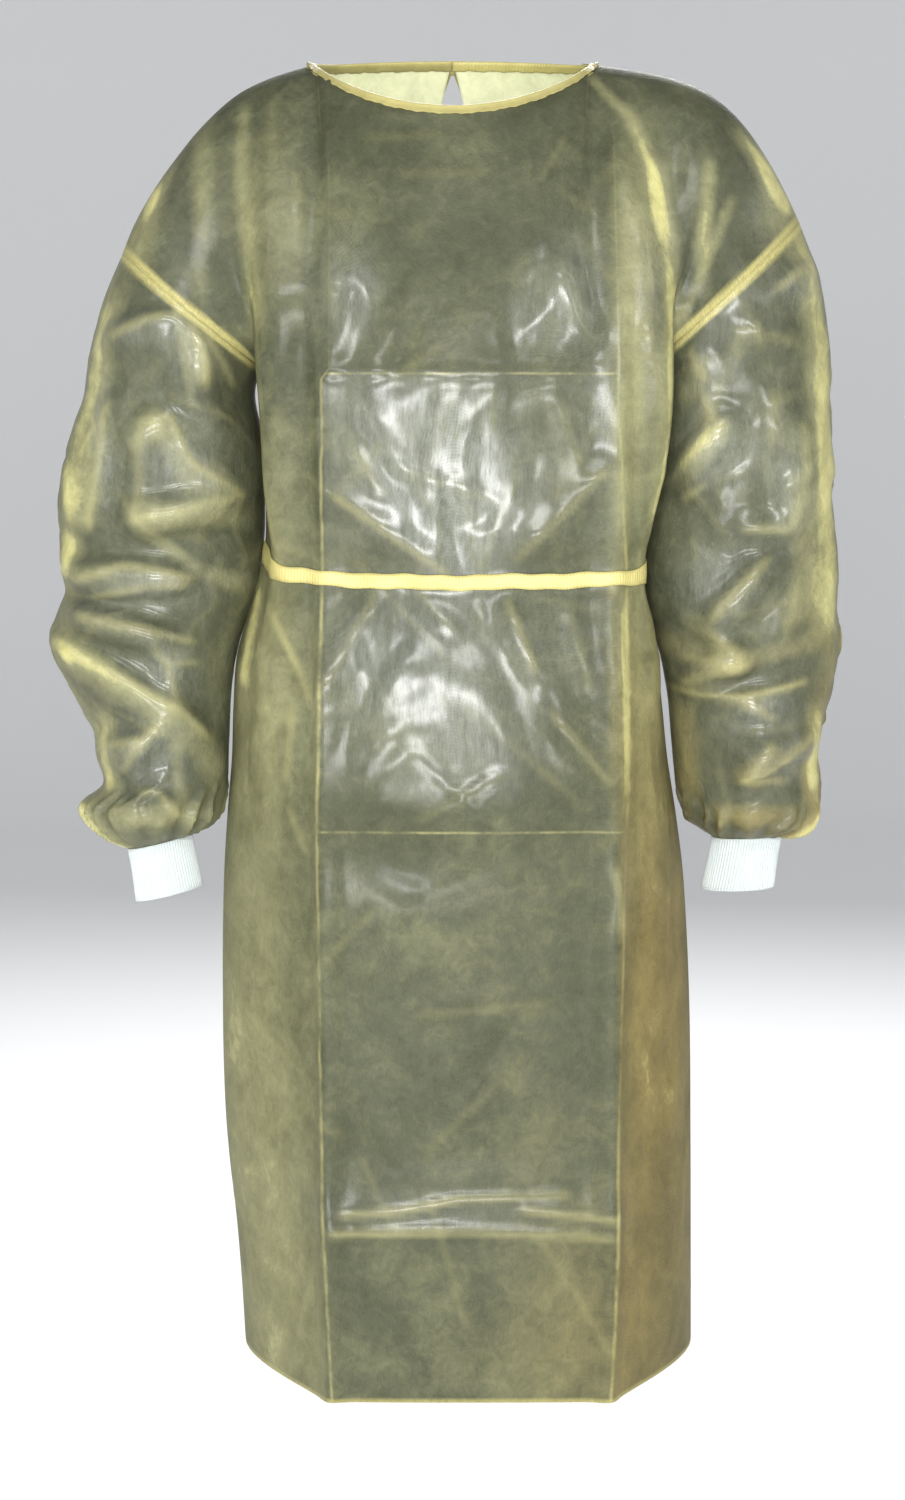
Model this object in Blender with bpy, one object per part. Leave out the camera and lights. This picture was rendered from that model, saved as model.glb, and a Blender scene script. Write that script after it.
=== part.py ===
"""Isolation gown in its worn shape, with no wearer, hanging from its shoulders.

Metres, +Z up, the front faces -Y and the wearer's left is +X. The origin lies midway between the two
points where the neckline meets the shoulders. Every panel is a wall: a grid of outer points worked out
from a short table of sections and folds, and the same grid moved in by the wall's thickness.
"""

import math

import bpy
import numpy as np
from mathutils.bvhtree import BVHTree

WALL = 0.0016
SEAM_GAP = 0.0003
LENGTH = 1.15

# The neckline, from its shoulder points down to its lowest point at the front and back to the nape.
NECK_HALF = 0.121
NECK_FRONT_DEPTH = 0.085
NECK_FRONT_DROP = 0.044
NECK_BACK_DEPTH = 0.085
NECK_BACK_RISE = 0.012

# How far forward and down the panels leave the neckline, how far forward they leave the shoulder seam,
# and how steeply beside the neck, within this share of a half panel.
NECK_LEAVE = (0.10, -0.20)
SHOULDER_LEAVE = 0.24
RIDGE_FALL = 0.02
RIDGE_SPREAD = 0.15
# How steeply the panels arrive at the section below the armpit.
SECTION_ARRIVE = 0.24

# Each half of a panel has this many columns: to the neck point, to the packing crease, to the seam.
HALF_COLUMNS = 15
NECK_COLUMN = 5
CREASE_COLUMN = {-1: 5, 1: 6}
LAP_COLUMNS = 2
# Shares of the way from the shoulder down to the armpit, where the rows of a panel lie.
YOKE_SHARES = np.array([0, 0.045, 0.13, 0.24, 0.35, 0.46, 0.57, 0.68, 0.79, 0.90, 1])
# Heights of the rows below the armpit. The belt lies between BELT_TOP and BELT_BOTTOM.
ARMPIT = -0.262
BELT_TOP = -0.4415
BELT_BOTTOM = -0.4525
HEIGHTS = np.array([
    ARMPIT, -0.295, -0.330, -0.365, -0.403, BELT_TOP, BELT_BOTTOM, -0.487, -0.525, -0.566, -0.610,
    -0.657, -0.710, -0.770, -0.830, -0.890, -0.945, -0.985, -1.030, -1.090, -LENGTH,
])


def table(columns, rows):
    """A table as one array for each named column."""
    return dict(zip(columns.split(), np.array(rows, float).T))


# Shoulder seams, from the neck point out to the drop-shoulder point on the sleeve.
RIDGE_COLUMNS = "x z"
RIDGE = {
    -1: table(RIDGE_COLUMNS, [
        (0.121, 0.000), (0.152, -0.009), (0.185, -0.024), (0.214, -0.048),
        (0.240, -0.078), (0.262, -0.108), (0.279, -0.137), (0.290, -0.163),
    ]),
    1: table(RIDGE_COLUMNS, [
        (0.121, 0.000), (0.158, -0.005), (0.192, -0.012), (0.225, -0.026),
        (0.251, -0.048), (0.275, -0.080), (0.293, -0.112), (0.305, -0.137),
    ]),
}

# Sections of the body: half widths at the side seams, depths, how far the front plane bows, how sharply
# the packing creases turn the section (degrees), and how far the loose cloth bulges beside the arms.
BODY_COLUMNS = "z right left front back bow turn lobe_right lobe_left"
BODY = table(BODY_COLUMNS, [
    (ARMPIT, 0.170, 0.172, 0.128, 0.112, 0.012, 30, 0.024, 0.026),
    (-0.310, 0.167, 0.170, 0.129, 0.108, 0.012, 30, 0.022, 0.028),
    (-0.365, 0.166, 0.168, 0.126, 0.100, 0.012, 30, 0.022, 0.022),
    (-0.415, 0.167, 0.162, 0.118, 0.093, 0.013, 30, 0.016, 0.012),
    (-0.447, 0.168, 0.162, 0.115, 0.090, 0.014, 30, 0.012, 0.008),
    (-0.480, 0.177, 0.170, 0.122, 0.099, 0.013, 32, 0.014, 0.010),
    (-0.520, 0.192, 0.182, 0.134, 0.111, 0.010, 36, 0.014, 0.012),
    (-0.600, 0.198, 0.192, 0.145, 0.123, 0.007, 42, 0.008, 0.006),
    (-0.700, 0.206, 0.207, 0.152, 0.134, 0.005, 46, 0.004, 0.004),
    (-0.820, 0.209, 0.215, 0.160, 0.144, 0.004, 50, 0.001, 0.001),
    (-0.960, 0.206, 0.218, 0.170, 0.155, 0.003, 54, 0.000, 0.000),
    (-1.050, 0.197, 0.219, 0.175, 0.162, 0.002, 56, 0.000, 0.000),
    (-LENGTH, 0.191, 0.220, 0.180, 0.168, 0.002, 58, 0.000, 0.000),
])
LOBE_SHARE = 0.34
LOBE_SPREAD = 0.22
LOBE_FORWARD = 0.5
# How far the cloth beside the lower half of the armhole falls away from it, and where that begins, as
# shares of the way to the side and of the way down.
UNDERARM_IN = 0.013
UNDERARM_DROP = 0.007
UNDERARM_FROM = (0.66, 0.4)
# How often, and how far, each point beside the armhole is drawn towards its neighbours, the rows where
# that starts, is whole, lessens and ends, and where between the middle and the side it starts and is whole.
EVEN_TIMES = 3
EVEN_SHARE = 0.6
EVEN_ROWS = (2, 5, 13, 17)
EVEN_ACROSS = (0.5, 0.7)
# Packing creases, as distances from the middle, at the chest and at the hem.
CREASE_X = {-1: (0.113, 0.107), 1: (0.142, 0.137)}
# The belt climbs from the middle of the front to the sides, and on to the middle of the back.
BELT_RISE = {-1: 0.024, 1: 0.014}
BELT_RISE_BACK = 0.017
BELT_REACH = 0.07

# The opening down the back: the distance of each panel's free edge past the middle, and how far the
# outer panel stands off the inner one.
OPENING_COLUMNS = "z past lift"
OPENING = table(OPENING_COLUMNS, [
    (0.012, -0.0006, 0.0), (-0.020, -0.009, 0.0), (-0.090, -0.022, 0.0), (-0.180, -0.030, 0.0),
    (-0.270, -0.020, 0.0), (-0.330, -0.006, 0.003), (-0.390, 0.016, 0.005), (-0.447, 0.028, 0.005),
    (-0.560, 0.034, 0.0055), (-0.800, 0.036, 0.0055), (-LENGTH, 0.034, 0.0055),
])

# Sections of the sleeves: the outermost and innermost point of each, its depth in front of and behind
# its own middle, and how far forward that middle lies.
SLEEVE_COLUMNS = "outer outer_z inner inner_z front back forward"
SLEEVE = {
    -1: table(SLEEVE_COLUMNS, [
        (0.290, -0.163, 0.170, -0.262, 0.096, 0.092, 0.000),
        (0.308, -0.205, 0.1775, -0.287, 0.093, 0.090, 0.000),
        (0.321, -0.257, 0.1745, -0.318, 0.088, 0.087, -0.002),
        (0.329, -0.303, 0.1735, -0.347, 0.086, 0.085, -0.004),
        (0.343, -0.345, 0.1735, -0.376, 0.084, 0.083, -0.006),
        (0.351, -0.385, 0.174, -0.406, 0.081, 0.081, -0.008),
        (0.351, -0.420, 0.1755, -0.432, 0.077, 0.078, -0.008),
        (0.346, -0.462, 0.181, -0.466, 0.073, 0.075, -0.006),
        (0.359, -0.505, 0.1935, -0.504, 0.070, 0.072, -0.003),
        (0.345, -0.544, 0.201, -0.541, 0.066, 0.068, 0.000),
        (0.323, -0.582, 0.204, -0.578, 0.061, 0.062, 0.004),
        (0.318, -0.612, 0.2055, -0.606, 0.058, 0.058, 0.007),
        (0.314, -0.634, 0.2065, -0.627, 0.056, 0.055, 0.010),
        (0.333, -0.652, 0.2085, -0.645, 0.060, 0.056, 0.012),
        (0.326, -0.669, 0.2105, -0.659, 0.057, 0.053, 0.013),
        (0.309, -0.683, 0.220, -0.671, 0.042, 0.038, 0.014),
        (0.292, -0.692, 0.234, -0.678, 0.023, 0.023, 0.015),
    ]),
    1: table(SLEEVE_COLUMNS, [
        (0.305, -0.137, 0.172, -0.262, 0.096, 0.092, 0.000),
        (0.322, -0.182, 0.179, -0.284, 0.094, 0.090, 0.000),
        (0.333, -0.235, 0.1775, -0.312, 0.090, 0.087, -0.002),
        (0.335, -0.290, 0.176, -0.342, 0.087, 0.085, -0.004),
        (0.338, -0.345, 0.1745, -0.375, 0.084, 0.083, -0.006),
        (0.340, -0.390, 0.1705, -0.408, 0.081, 0.081, -0.008),
        (0.345, -0.438, 0.1705, -0.445, 0.077, 0.078, -0.007),
        (0.344, -0.480, 0.1775, -0.482, 0.073, 0.074, -0.004),
        (0.346, -0.518, 0.189, -0.517, 0.070, 0.070, -0.001),
        (0.338, -0.558, 0.1965, -0.554, 0.066, 0.066, 0.002),
        (0.328, -0.594, 0.200, -0.588, 0.062, 0.062, 0.005),
        (0.330, -0.626, 0.203, -0.616, 0.059, 0.058, 0.008),
        (0.331, -0.646, 0.2055, -0.636, 0.059, 0.056, 0.011),
        (0.330, -0.660, 0.208, -0.650, 0.058, 0.054, 0.012),
        (0.322, -0.671, 0.212, -0.662, 0.053, 0.050, 0.013),
        (0.308, -0.677, 0.221, -0.671, 0.041, 0.038, 0.014),
        (0.296, -0.679, 0.233, -0.681, 0.024, 0.024, 0.015),
    ]),
}
# Rings of a sleeve, as rows of its table. From GATHER_START on they have twice the points.
# How far the folds fade where a sleeve lies against the body, and over what share of its half turn.
BODY_SIDE_EVEN = 0.9
BODY_SIDE_SPREAD = 0.22
SLEEVE_RINGS = np.array([0, 0.5, 1.2, 2, 3, 4, 5, 6, 7, 8, 9, 10, 11, 12, 13, 13.5, 14, 14.5, 15, 15.5, 16])
GATHER_START = 12
GATHERS = 10
GATHER_HEIGHT = 0.0042

CUFF_LENGTH = 0.048
CUFF_LEAN = 0.17
CUFF_SPREAD = 1.04
CUFF_ROWS = 4

# Large folds as they are seen from in front or behind: the ends of each, its half width, how far it
# stands out (or in, below zero) and whether it is sharp. side is -1 on the front and 1 on the back.
FOLD_COLUMNS = "x0 z0 x1 z1 half height sharp side"
BODY_FOLDS = table(FOLD_COLUMNS, [
    # the valleys beside the chest, where the yoke falls away over the arms
    (-0.186, -0.050, -0.184, -0.250, 0.040, -0.010, 0, -1),
    (0.176, -0.060, 0.215, -0.235, 0.040, -0.012, 0, -1),
    # the rolled edges of the chest in front of them
    (-0.150, -0.060, -0.156, -0.300, 0.036, 0.007, 0, -1),
    (0.146, -0.050, 0.176, -0.300, 0.036, 0.010, 0, -1),
    # packing creases down the front
    (-0.112, -0.200, -0.107, -1.149, 0.022, 0.004, 1, -1),
    (0.142, -0.200, 0.137, -1.149, 0.022, 0.005, 1, -1),
    # the creases that gather towards the belt
    (-0.100, -0.370, 0.000, -0.440, 0.030, 0.006, 0, -1),
    (0.135, -0.345, 0.050, -0.425, 0.030, 0.006, 0, -1),
    (-0.060, -0.455, -0.110, -0.540, 0.024, 0.006, 0, -1),
    (0.045, -0.470, 0.075, -0.520, 0.024, 0.005, 0, -1),
    (-0.180, -0.460, -0.120, -0.560, 0.030, -0.007, 0, -1),
    (0.160, -0.455, 0.172, -0.560, 0.028, -0.007, 0, -1),
    (0.085, -0.550, 0.140, -0.620, 0.026, 0.005, 0, -1),
    # creases of the chest
    (-0.070, -0.190, -0.045, -0.270, 0.026, -0.004, 0, -1),
    (0.090, -0.170, 0.110, -0.255, 0.024, 0.006, 0, -1),
    # packing creases across the skirt
    (-0.104, -0.985, 0.135, -0.985, 0.030, 0.004, 1, -1),
    (-0.110, -0.657, 0.140, -0.657, 0.030, 0.003, 1, -1),
    # the back: packing creases, valleys behind the arms, and the gathers round the belt
    (-0.112, -0.200, -0.107, -1.149, 0.022, 0.004, 1, 1),
    (0.142, -0.200, 0.137, -1.149, 0.022, 0.005, 1, 1),
    (-0.180, -0.070, -0.178, -0.250, 0.040, -0.009, 0, 1),
    (0.184, -0.070, 0.182, -0.250, 0.040, -0.009, 0, 1),
    (-0.075, -0.340, -0.050, -0.435, 0.026, 0.006, 0, 1),
    (0.095, -0.350, 0.070, -0.435, 0.026, 0.006, 0, 1),
    (-0.080, -0.465, -0.100, -0.580, 0.026, 0.006, 0, 1),
    (0.080, -0.465, 0.105, -0.570, 0.026, 0.006, 0, 1),
    (-0.150, -0.465, -0.165, -0.560, 0.028, -0.006, 0, 1),
    (0.150, -0.465, 0.160, -0.560, 0.028, -0.006, 0, 1),
])
SLEEVE_FOLDS = {
    -1: table(FOLD_COLUMNS, [
        (-0.305, -0.250, -0.200, -0.215, 0.028, 0.006, 0, -1),
        (-0.235, -0.250, -0.200, -0.330, 0.028, 0.008, 0, -1),
        (-0.325, -0.300, -0.335, -0.400, 0.026, 0.006, 0, -1),
        (-0.285, -0.300, -0.250, -0.345, 0.028, 0.007, 0, -1),
        (-0.290, -0.400, -0.200, -0.385, 0.026, 0.008, 0, -1),
        (-0.350, -0.440, -0.240, -0.450, 0.022, 0.007, 0, -1),
        (-0.340, -0.478, -0.245, -0.505, 0.022, 0.008, 0, -1),
        (-0.350, -0.510, -0.225, -0.590, 0.024, 0.007, 0, -1),
        (-0.310, -0.600, -0.245, -0.590, 0.022, 0.005, 0, -1),
        (-0.300, -0.220, -0.215, -0.300, 0.030, 0.007, 0, 1),
        (-0.335, -0.330, -0.220, -0.370, 0.028, 0.007, 0, 1),
        (-0.340, -0.430, -0.230, -0.440, 0.026, 0.008, 0, 1),
        (-0.345, -0.510, -0.235, -0.490, 0.024, 0.007, 0, 1),
        (-0.315, -0.580, -0.235, -0.560, 0.024, 0.006, 0, 1),
    ]),
    1: table(FOLD_COLUMNS, [
        (0.225, -0.150, 0.205, -0.235, 0.026, 0.007, 0, -1),
        (0.260, -0.090, 0.235, -0.150, 0.024, 0.006, 0, -1),
        (0.310, -0.180, 0.280, -0.205, 0.024, 0.006, 0, -1),
        (0.245, -0.310, 0.205, -0.360, 0.026, 0.008, 0, -1),
        (0.285, -0.290, 0.300, -0.400, 0.026, 0.007, 0, -1),
        (0.280, -0.440, 0.225, -0.495, 0.024, 0.008, 0, -1),
        (0.260, -0.505, 0.210, -0.545, 0.022, 0.007, 0, -1),
        (0.325, -0.535, 0.200, -0.550, 0.024, -0.007, 0, -1),
        (0.320, -0.590, 0.250, -0.600, 0.024, 0.008, 0, -1),
        (0.310, -0.190, 0.215, -0.290, 0.030, 0.007, 0, 1),
        (0.330, -0.340, 0.225, -0.370, 0.028, 0.007, 0, 1),
        (0.335, -0.420, 0.225, -0.445, 0.026, 0.008, 0, 1),
        (0.335, -0.500, 0.230, -0.500, 0.024, 0.007, 0, 1),
        (0.320, -0.570, 0.235, -0.570, 0.024, 0.006, 0, 1),
    ]),
}

# The binding folds over the neckline. It, the belt and the tails are this thick.
TAPE = 0.0012
BINDING_WIDTH = 0.0085
BINDING_GAP = 0.0005
BINDING_STEPS = 3
BINDING_LEGS = (1, 0.5, 0)
BINDING_REACH = 0.005
SPREAD_CUTS = 12
BELT_STEP_OVER = 0.014
# Half sizes of the knots, and how square they are.
NECK_KNOT = (0.0095, 0.0050, 0.0065)
BELT_KNOT = (0.0125, 0.0065, 0.0090)
KNOT_POWER = 0.65
KNOT_RINGS = 5
KNOT_AROUND = 14
# Ties that hang from the knots: how far each starts and ends from the middle, and its length.
TAIL_WIDTH = 0.010
TAIL_STEP = 0.007
TAIL_GAP = 0.0004
TAIL_STAND = 0.004
TAILS_COLUMNS = "start end length"
NECK_TAILS = table(TAILS_COLUMNS, [(0.0060, 0.046, 0.160), (0.0060, 0.041, 0.145)])
BELT_TAILS = table(TAILS_COLUMNS, [(0.0060, 0.024, 0.265), (0.0060, 0.016, 0.225)])

YELLOW = (0.62, 0.58, 0.30)
OLIVE = (0.36, 0.36, 0.25)
WHITE = (0.86, 0.88, 0.87)


def clear_scene():
    for thing in list(bpy.data.objects):
        bpy.data.objects.remove(thing)


def finish(name, colour, roughness):
    """A Principled material of one colour."""
    made = bpy.data.materials.new(name)
    made.use_nodes = True
    shader = made.node_tree.nodes["Principled BSDF"]
    shader.inputs["Base Color"].default_value = (*colour, 1)
    shader.inputs["Roughness"].default_value = roughness
    shader.inputs["Metallic"].default_value = 0
    return made


def smooth(at, knots, values):
    """A cubic through the knots, with each slope taken from the knots on its two sides."""
    slopes = np.gradient(values, knots)
    at = np.clip(at, knots[0], knots[-1])
    k = np.clip(np.searchsorted(knots, at, side="right") - 1, 0, len(knots) - 2)
    step = knots[k + 1] - knots[k]
    t = (at - knots[k]) / step
    rise = 3 * t**2 - 2 * t**3
    return (
        values[k] * (1 - rise) + values[k + 1] * rise
        + step * (slopes[k] * (t**3 - 2 * t**2 + t) + slopes[k + 1] * (t**3 - t**2))
    )


def by_height(rows, name, z):
    """A column of a table that runs downwards, at height z."""
    return smooth(-z, -rows["z"], rows[name])


def ease(t):
    """0 below t = 0, 1 above t = 1, and a smooth step between."""
    t = np.clip(t, 0, 1)
    return t * t * (3 - 2 * t)


def unit(vectors):
    return vectors / np.linalg.norm(vectors, axis=-1, keepdims=True)


def hermite(start, end, leave, arrive, t):
    """The cubic from start to end that leaves and arrives with the given tangents."""
    t = t[..., None]
    rise = 3 * t**2 - 2 * t**3
    return start * (1 - rise) + end * rise + leave * (t**3 - 2 * t**2 + t) + arrive * (t**3 - t**2)


def stack(x, y, z):
    return np.stack(np.broadcast_arrays(x, y, z), axis=-1)


def section(side, facing, across, z):
    """Points round one quarter of the body. across is 0 in the middle and 1 at the side seam.

    The plane between the packing creases bows by a parabola, and a cubic turns back from the crease to
    the side seam. The loose cloth beside the arm bulges out of that cubic.
    """
    across, z = np.broadcast_arrays(across, z)
    word = "right" if side < 0 else "left"
    half = by_height(BODY, word, z)
    depth = by_height(BODY, "front" if facing < 0 else "back", z)
    bow = by_height(BODY, "bow", z)
    turn = np.radians(by_height(BODY, "turn", z))
    lobe = by_height(BODY, "lobe_" + word, z) * (1 if facing < 0 else 0.7)
    chest, hem = CREASE_X[side]
    crease = chest + (hem - chest) * (ARMPIT - z) / (LENGTH + ARMPIT)
    share = CREASE_COLUMN[side] / HALF_COLUMNS
    inner = np.clip(across / share, 0, 1)
    outer = np.clip((across - share) / (1 - share), 0, 1)
    corner = depth - bow
    chord = 0.92 * np.hypot(half - crease, corner)
    flank = hermite(
        stack(crease, corner, 0), stack(half, 0, 0),
        stack(chord * np.cos(turn), -chord * np.sin(turn), 0), stack(0.05 * chord, -chord, 0), outer,
    )
    bulge = lobe * np.exp(-((outer - LOBE_SHARE) / LOBE_SPREAD) ** 2) * ease(outer / 0.25)
    bulge = bulge * ease((1 - outer) / 0.4)
    x = np.where(across < share, crease * inner, flank[..., 0] + bulge)
    y = np.where(across < share, depth - bow * inner**2, flank[..., 1] + LOBE_FORWARD * bulge)
    rise = BELT_RISE[side] * across**2
    if facing > 0:
        rise = BELT_RISE_BACK + (BELT_RISE[side] - BELT_RISE_BACK) * across**2
    belt = (BELT_TOP + BELT_BOTTOM) / 2
    climb = rise * np.exp(-((z - belt) / BELT_REACH) ** 2)
    return stack(side * x, facing * y, z + climb)


def top_edge(side, facing, across):
    """The upper edge of a panel: the neckline up to the neck point, then the shoulder seam."""
    share = NECK_COLUMN / HALF_COLUMNS
    angle = np.clip(across / share, 0, 1) * math.pi / 2
    fall = np.cos(angle)
    if facing < 0:
        neck = stack(NECK_HALF * np.sin(angle), NECK_FRONT_DEPTH * fall, -NECK_FRONT_DROP * fall**1.6)
    else:
        neck = stack(NECK_HALF * np.sin(angle), NECK_BACK_DEPTH * fall, NECK_BACK_RISE * fall**1.5)
    ridge = RIDGE[side]
    run = np.concatenate([[0], np.cumsum(np.hypot(np.diff(ridge["x"]), np.diff(ridge["z"])))])
    way = np.clip((across - share) / (1 - share), 0, 1) * run[-1]
    seam = stack(smooth(way, run, ridge["x"]), 0, smooth(way, run, ridge["z"]))
    edge = np.where((across <= share)[..., None], neck, seam)
    return edge * np.array([side, facing, 1])


def yoke(side, facing, across, share):
    """Points between the upper edge and the armpit. At across = 1 they follow the armhole."""
    armhole_depth = SLEEVE[side]["front" if facing < 0 else "back"][0]
    start = top_edge(side, facing, across)
    end = section(side, facing, across, np.full(across.shape, ARMPIT))
    below = section(side, facing, across, np.full(across.shape, ARMPIT - 0.01))
    neck = np.cos(np.clip(across * HALF_COLUMNS / NECK_COLUMN, 0, 1) * math.pi / 2)
    shoulder = SHOULDER_LEAVE + (4 * armhole_depth - SHOULDER_LEAVE) * across**2
    forward = NECK_LEAVE[0] * neck + (1 - neck) * shoulder
    beside_neck = np.exp(-((across - NECK_COLUMN / HALF_COLUMNS) / RIDGE_SPREAD) ** 2)
    leave = stack(0 * across, facing * forward, NECK_LEAVE[1] * neck - RIDGE_FALL * (1 - neck) * beside_neck)
    armhole = ease((across - 0.5) / 0.5)[:, None]
    arrive = SECTION_ARRIVE * unit(below - end) * (1 - armhole)
    arrive = arrive + armhole * stack(0 * across, -facing * 4 * armhole_depth, 0)
    made = hermite(start[None], end[None], leave[None], arrive[None], share[:, None] + 0 * across)
    # below the arm the cloth beside the seam falls away towards the middle
    aside, down = UNDERARM_FROM
    beside = np.sin(math.pi * np.clip((across - aside) / (1 - aside), 0, 1))[None]
    low = np.sin(math.pi * np.clip((share - down) / (1 - down), 0, 1))[:, None]
    return made + (beside * low)[..., None] * np.array([-side * UNDERARM_IN, 0, -UNDERARM_DROP])


def fold_height(points, rows, facing):
    """How far the folds of one side lift each point: a soft or a sharp profile across each segment,
    fading towards its ends."""
    x, z = points[..., 0], points[..., 2]
    total = np.zeros(x.shape)
    for x0, z0, x1, z1, half, height, sharp, side in zip(*rows.values()):
        if side != facing:
            continue
        run = math.hypot(x1 - x0, z1 - z0)
        ax, az = (x1 - x0) / run, (z1 - z0) / run
        along = ((x - x0) * ax + (z - z0) * az) / run
        t = np.clip(np.abs((x - x0) * az - (z - z0) * ax) / half, 0, 1)
        fade = ease((along + 0.12) / 0.3) * ease((1.12 - along) / 0.3)
        total += height * fade * np.where(sharp, (1 - t) ** 1.5, (1 - t**2) ** 2)
    return total


def flat_normals(points, facing):
    """Unit normals of a panel's grid, on the side that faces forward (-1) or back (1)."""
    normals = unit(np.cross(np.gradient(points, axis=0), np.gradient(points, axis=1)))
    return normals * np.sign(facing * normals[..., 1:2].mean())


def ring_normals(points):
    """Unit normals of a grid of closed rings, outwards."""
    ringed = np.concatenate([points[:, -1:], points, points[:, :1]], axis=1)
    normals = unit(np.cross(np.gradient(points, axis=0), ringed[:, 2:] - ringed[:, :-2]))
    outwards = points - points.mean(1, keepdims=True)
    return normals * np.sign((outwards * normals).sum(-1).mean())


def seam_facing():
    """How far down the armhole a panel and its sleeve still run on into each other: 1 over the
    shoulder, falling to 0 towards the armpit, where they turn to face each other."""
    return ease((0.68 - YOKE_SHARES) / 0.2)[:, None]


def arm_normals(side, facing, natural):
    """Normals along one half of an armhole. Over the shoulder the panel and the sleeve share them, so
    that their edges meet squarely, and towards the armpit each keeps its own."""
    rows = SLEEVE[side]
    rise = rows["outer_z"][0] - rows["inner_z"][0]
    outer = unit(np.array([side * (rows["outer"][0] - rows["inner"][0]), 0, rise]))
    angle = math.pi * YOKE_SHARES[:, None]
    shared = np.cos(angle) * outer + np.sin(angle) * np.array([0, facing, 0])
    return unit(natural + (shared - natural) * seam_facing())


def panel(side_columns, facing):
    """The outer points and normals of a panel. side_columns gives each column's side and its share
    of the way from the middle to the side seam, from the wearer's right to left in front."""
    sides = np.array([s for s, _ in side_columns])
    across = np.array([a for _, a in side_columns])
    points = np.zeros((len(YOKE_SHARES) + len(HEIGHTS) - 1, len(across), 3))
    for side in (-1, 1):
        mine = sides == side
        if not mine.any():
            continue
        points[: len(YOKE_SHARES), mine] = yoke(side, facing, across[mine], YOKE_SHARES)
        points[len(YOKE_SHARES):, mine] = section(side, facing, across[mine][None], HEIGHTS[1:, None])
    return points


def fold_panel(points, facing, across):
    """Moves a panel's points along their normals by the height of its folds, less towards its sides."""
    normals = flat_normals(points, facing)
    rows = np.arange(points.shape[0])[:, None]
    fade = ease(rows / 3) * ease((1 - across) * 6)[None] * ease(1.6 * facing * normals[..., 1])
    return points + normals * (fold_height(points, BODY_FOLDS, facing) * fade)[..., None]


def evened(points, across):
    """Draws the points beside the lower half of the armhole towards their neighbours."""
    rows = np.arange(points.shape[0])[:, None]
    start, whole, less, end = EVEN_ROWS
    weight = EVEN_SHARE * ease((rows - start) / (whole - start)) * ease((end - rows) / (end - less))
    weight = weight * ease((across - EVEN_ACROSS[0]) / (EVEN_ACROSS[1] - EVEN_ACROSS[0]))[None]
    for _ in range(EVEN_TIMES):
        around = points[:-2, 1:-1] + points[2:, 1:-1] + points[1:-1, :-2] + points[1:-1, 2:]
        points = points.copy()
        points[1:-1, 1:-1] += (around / 4 - points[1:-1, 1:-1]) * weight[1:-1, 1:-1, None]
    return points


def panel_normals(points, facing, seams):
    """Normals of a folded panel. seams maps a column to its side where it meets a sleeve and a side seam."""
    normals = flat_normals(points, facing)
    count = len(YOKE_SHARES)
    ridge = np.abs(points[0, :, 1]) < 1e-9
    normals[0, ridge, 1] = 0
    normals[0] = unit(normals[0])
    for column, side in seams.items():
        normals[:count, column] = arm_normals(side, facing, normals[:count, column])
        normals[count:, column] = (side, 0, 0)
    return normals


def parted(edge, beside, normal, sunk=0):
    """The points of an edge moved away from its seam, along the surface and, where sunk is 1, into
    the wall."""
    step = beside - edge
    step = step - (step * normal).sum(-1, keepdims=True) * normal
    return edge + (unit(step) - sunk * normal) * SEAM_GAP / 2


def part_sides(points, normals, columns):
    """Parts the given edge columns of a panel from the sleeve above and the next panel below."""
    sunk = np.zeros((len(points), 1))
    sunk[: len(YOKE_SHARES)] = 1 - seam_facing()
    moved = {}
    for column, beside in columns:
        moved[column] = parted(points[:, column], points[:, beside], normals[:, column], sunk)
    return moved


def split(points, a, b, c, d):
    """Two triangles for the quad a, b, c, d, along its shorter diagonal."""
    if np.linalg.norm(points[a] - points[c]) < np.linalg.norm(points[b] - points[d]):
        return [(a, b, c), (a, c, d)]
    return [(a, b, d), (b, c, d)]


def grid_faces(rows, closed=False):
    """The points of a grid as one array, and its triangles. A row has as many points as the row above
    it, or twice as many."""
    outer = np.concatenate(rows)
    starts = np.concatenate([[0], np.cumsum([len(row) for row in rows])])
    faces = []
    for r in range(len(rows) - 1):
        n, m = len(rows[r]), len(rows[r + 1])
        a, b = starts[r], starts[r + 1]
        for c in range(n if closed else n - 1):
            d = (c + 1) % n
            if m == n:
                faces += split(outer, a + c, a + d, b + d, b + c)
            else:
                left, middle, right = b + 2 * c, b + 2 * c + 1, b + (2 * c + 2) % m
                faces += [(a + c, middle, left), (a + c, a + d, middle), (a + d, right, middle)]
    return outer, faces


def wall(name, points, normals, material, closed=False):
    """A closed wall from a grid of outer points. The same triangles lie on the inside, WALL away, and
    strips close the edges."""
    outer, faces = grid_faces(points, closed)
    inner = outer - WALL * np.concatenate(normals)
    count = len(outer)
    border = {edge for f in faces for edge in ((f[0], f[1]), (f[1], f[2]), (f[2], f[0]))}
    shell = list(faces) + [(f[0] + count, f[2] + count, f[1] + count) for f in faces]
    for a, b in sorted(border):
        if (b, a) not in border:
            shell += [(b, a, a + count), (b, a + count, b + count)]
    return solid(name, np.concatenate([outer, inner]), shell, material)


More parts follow.
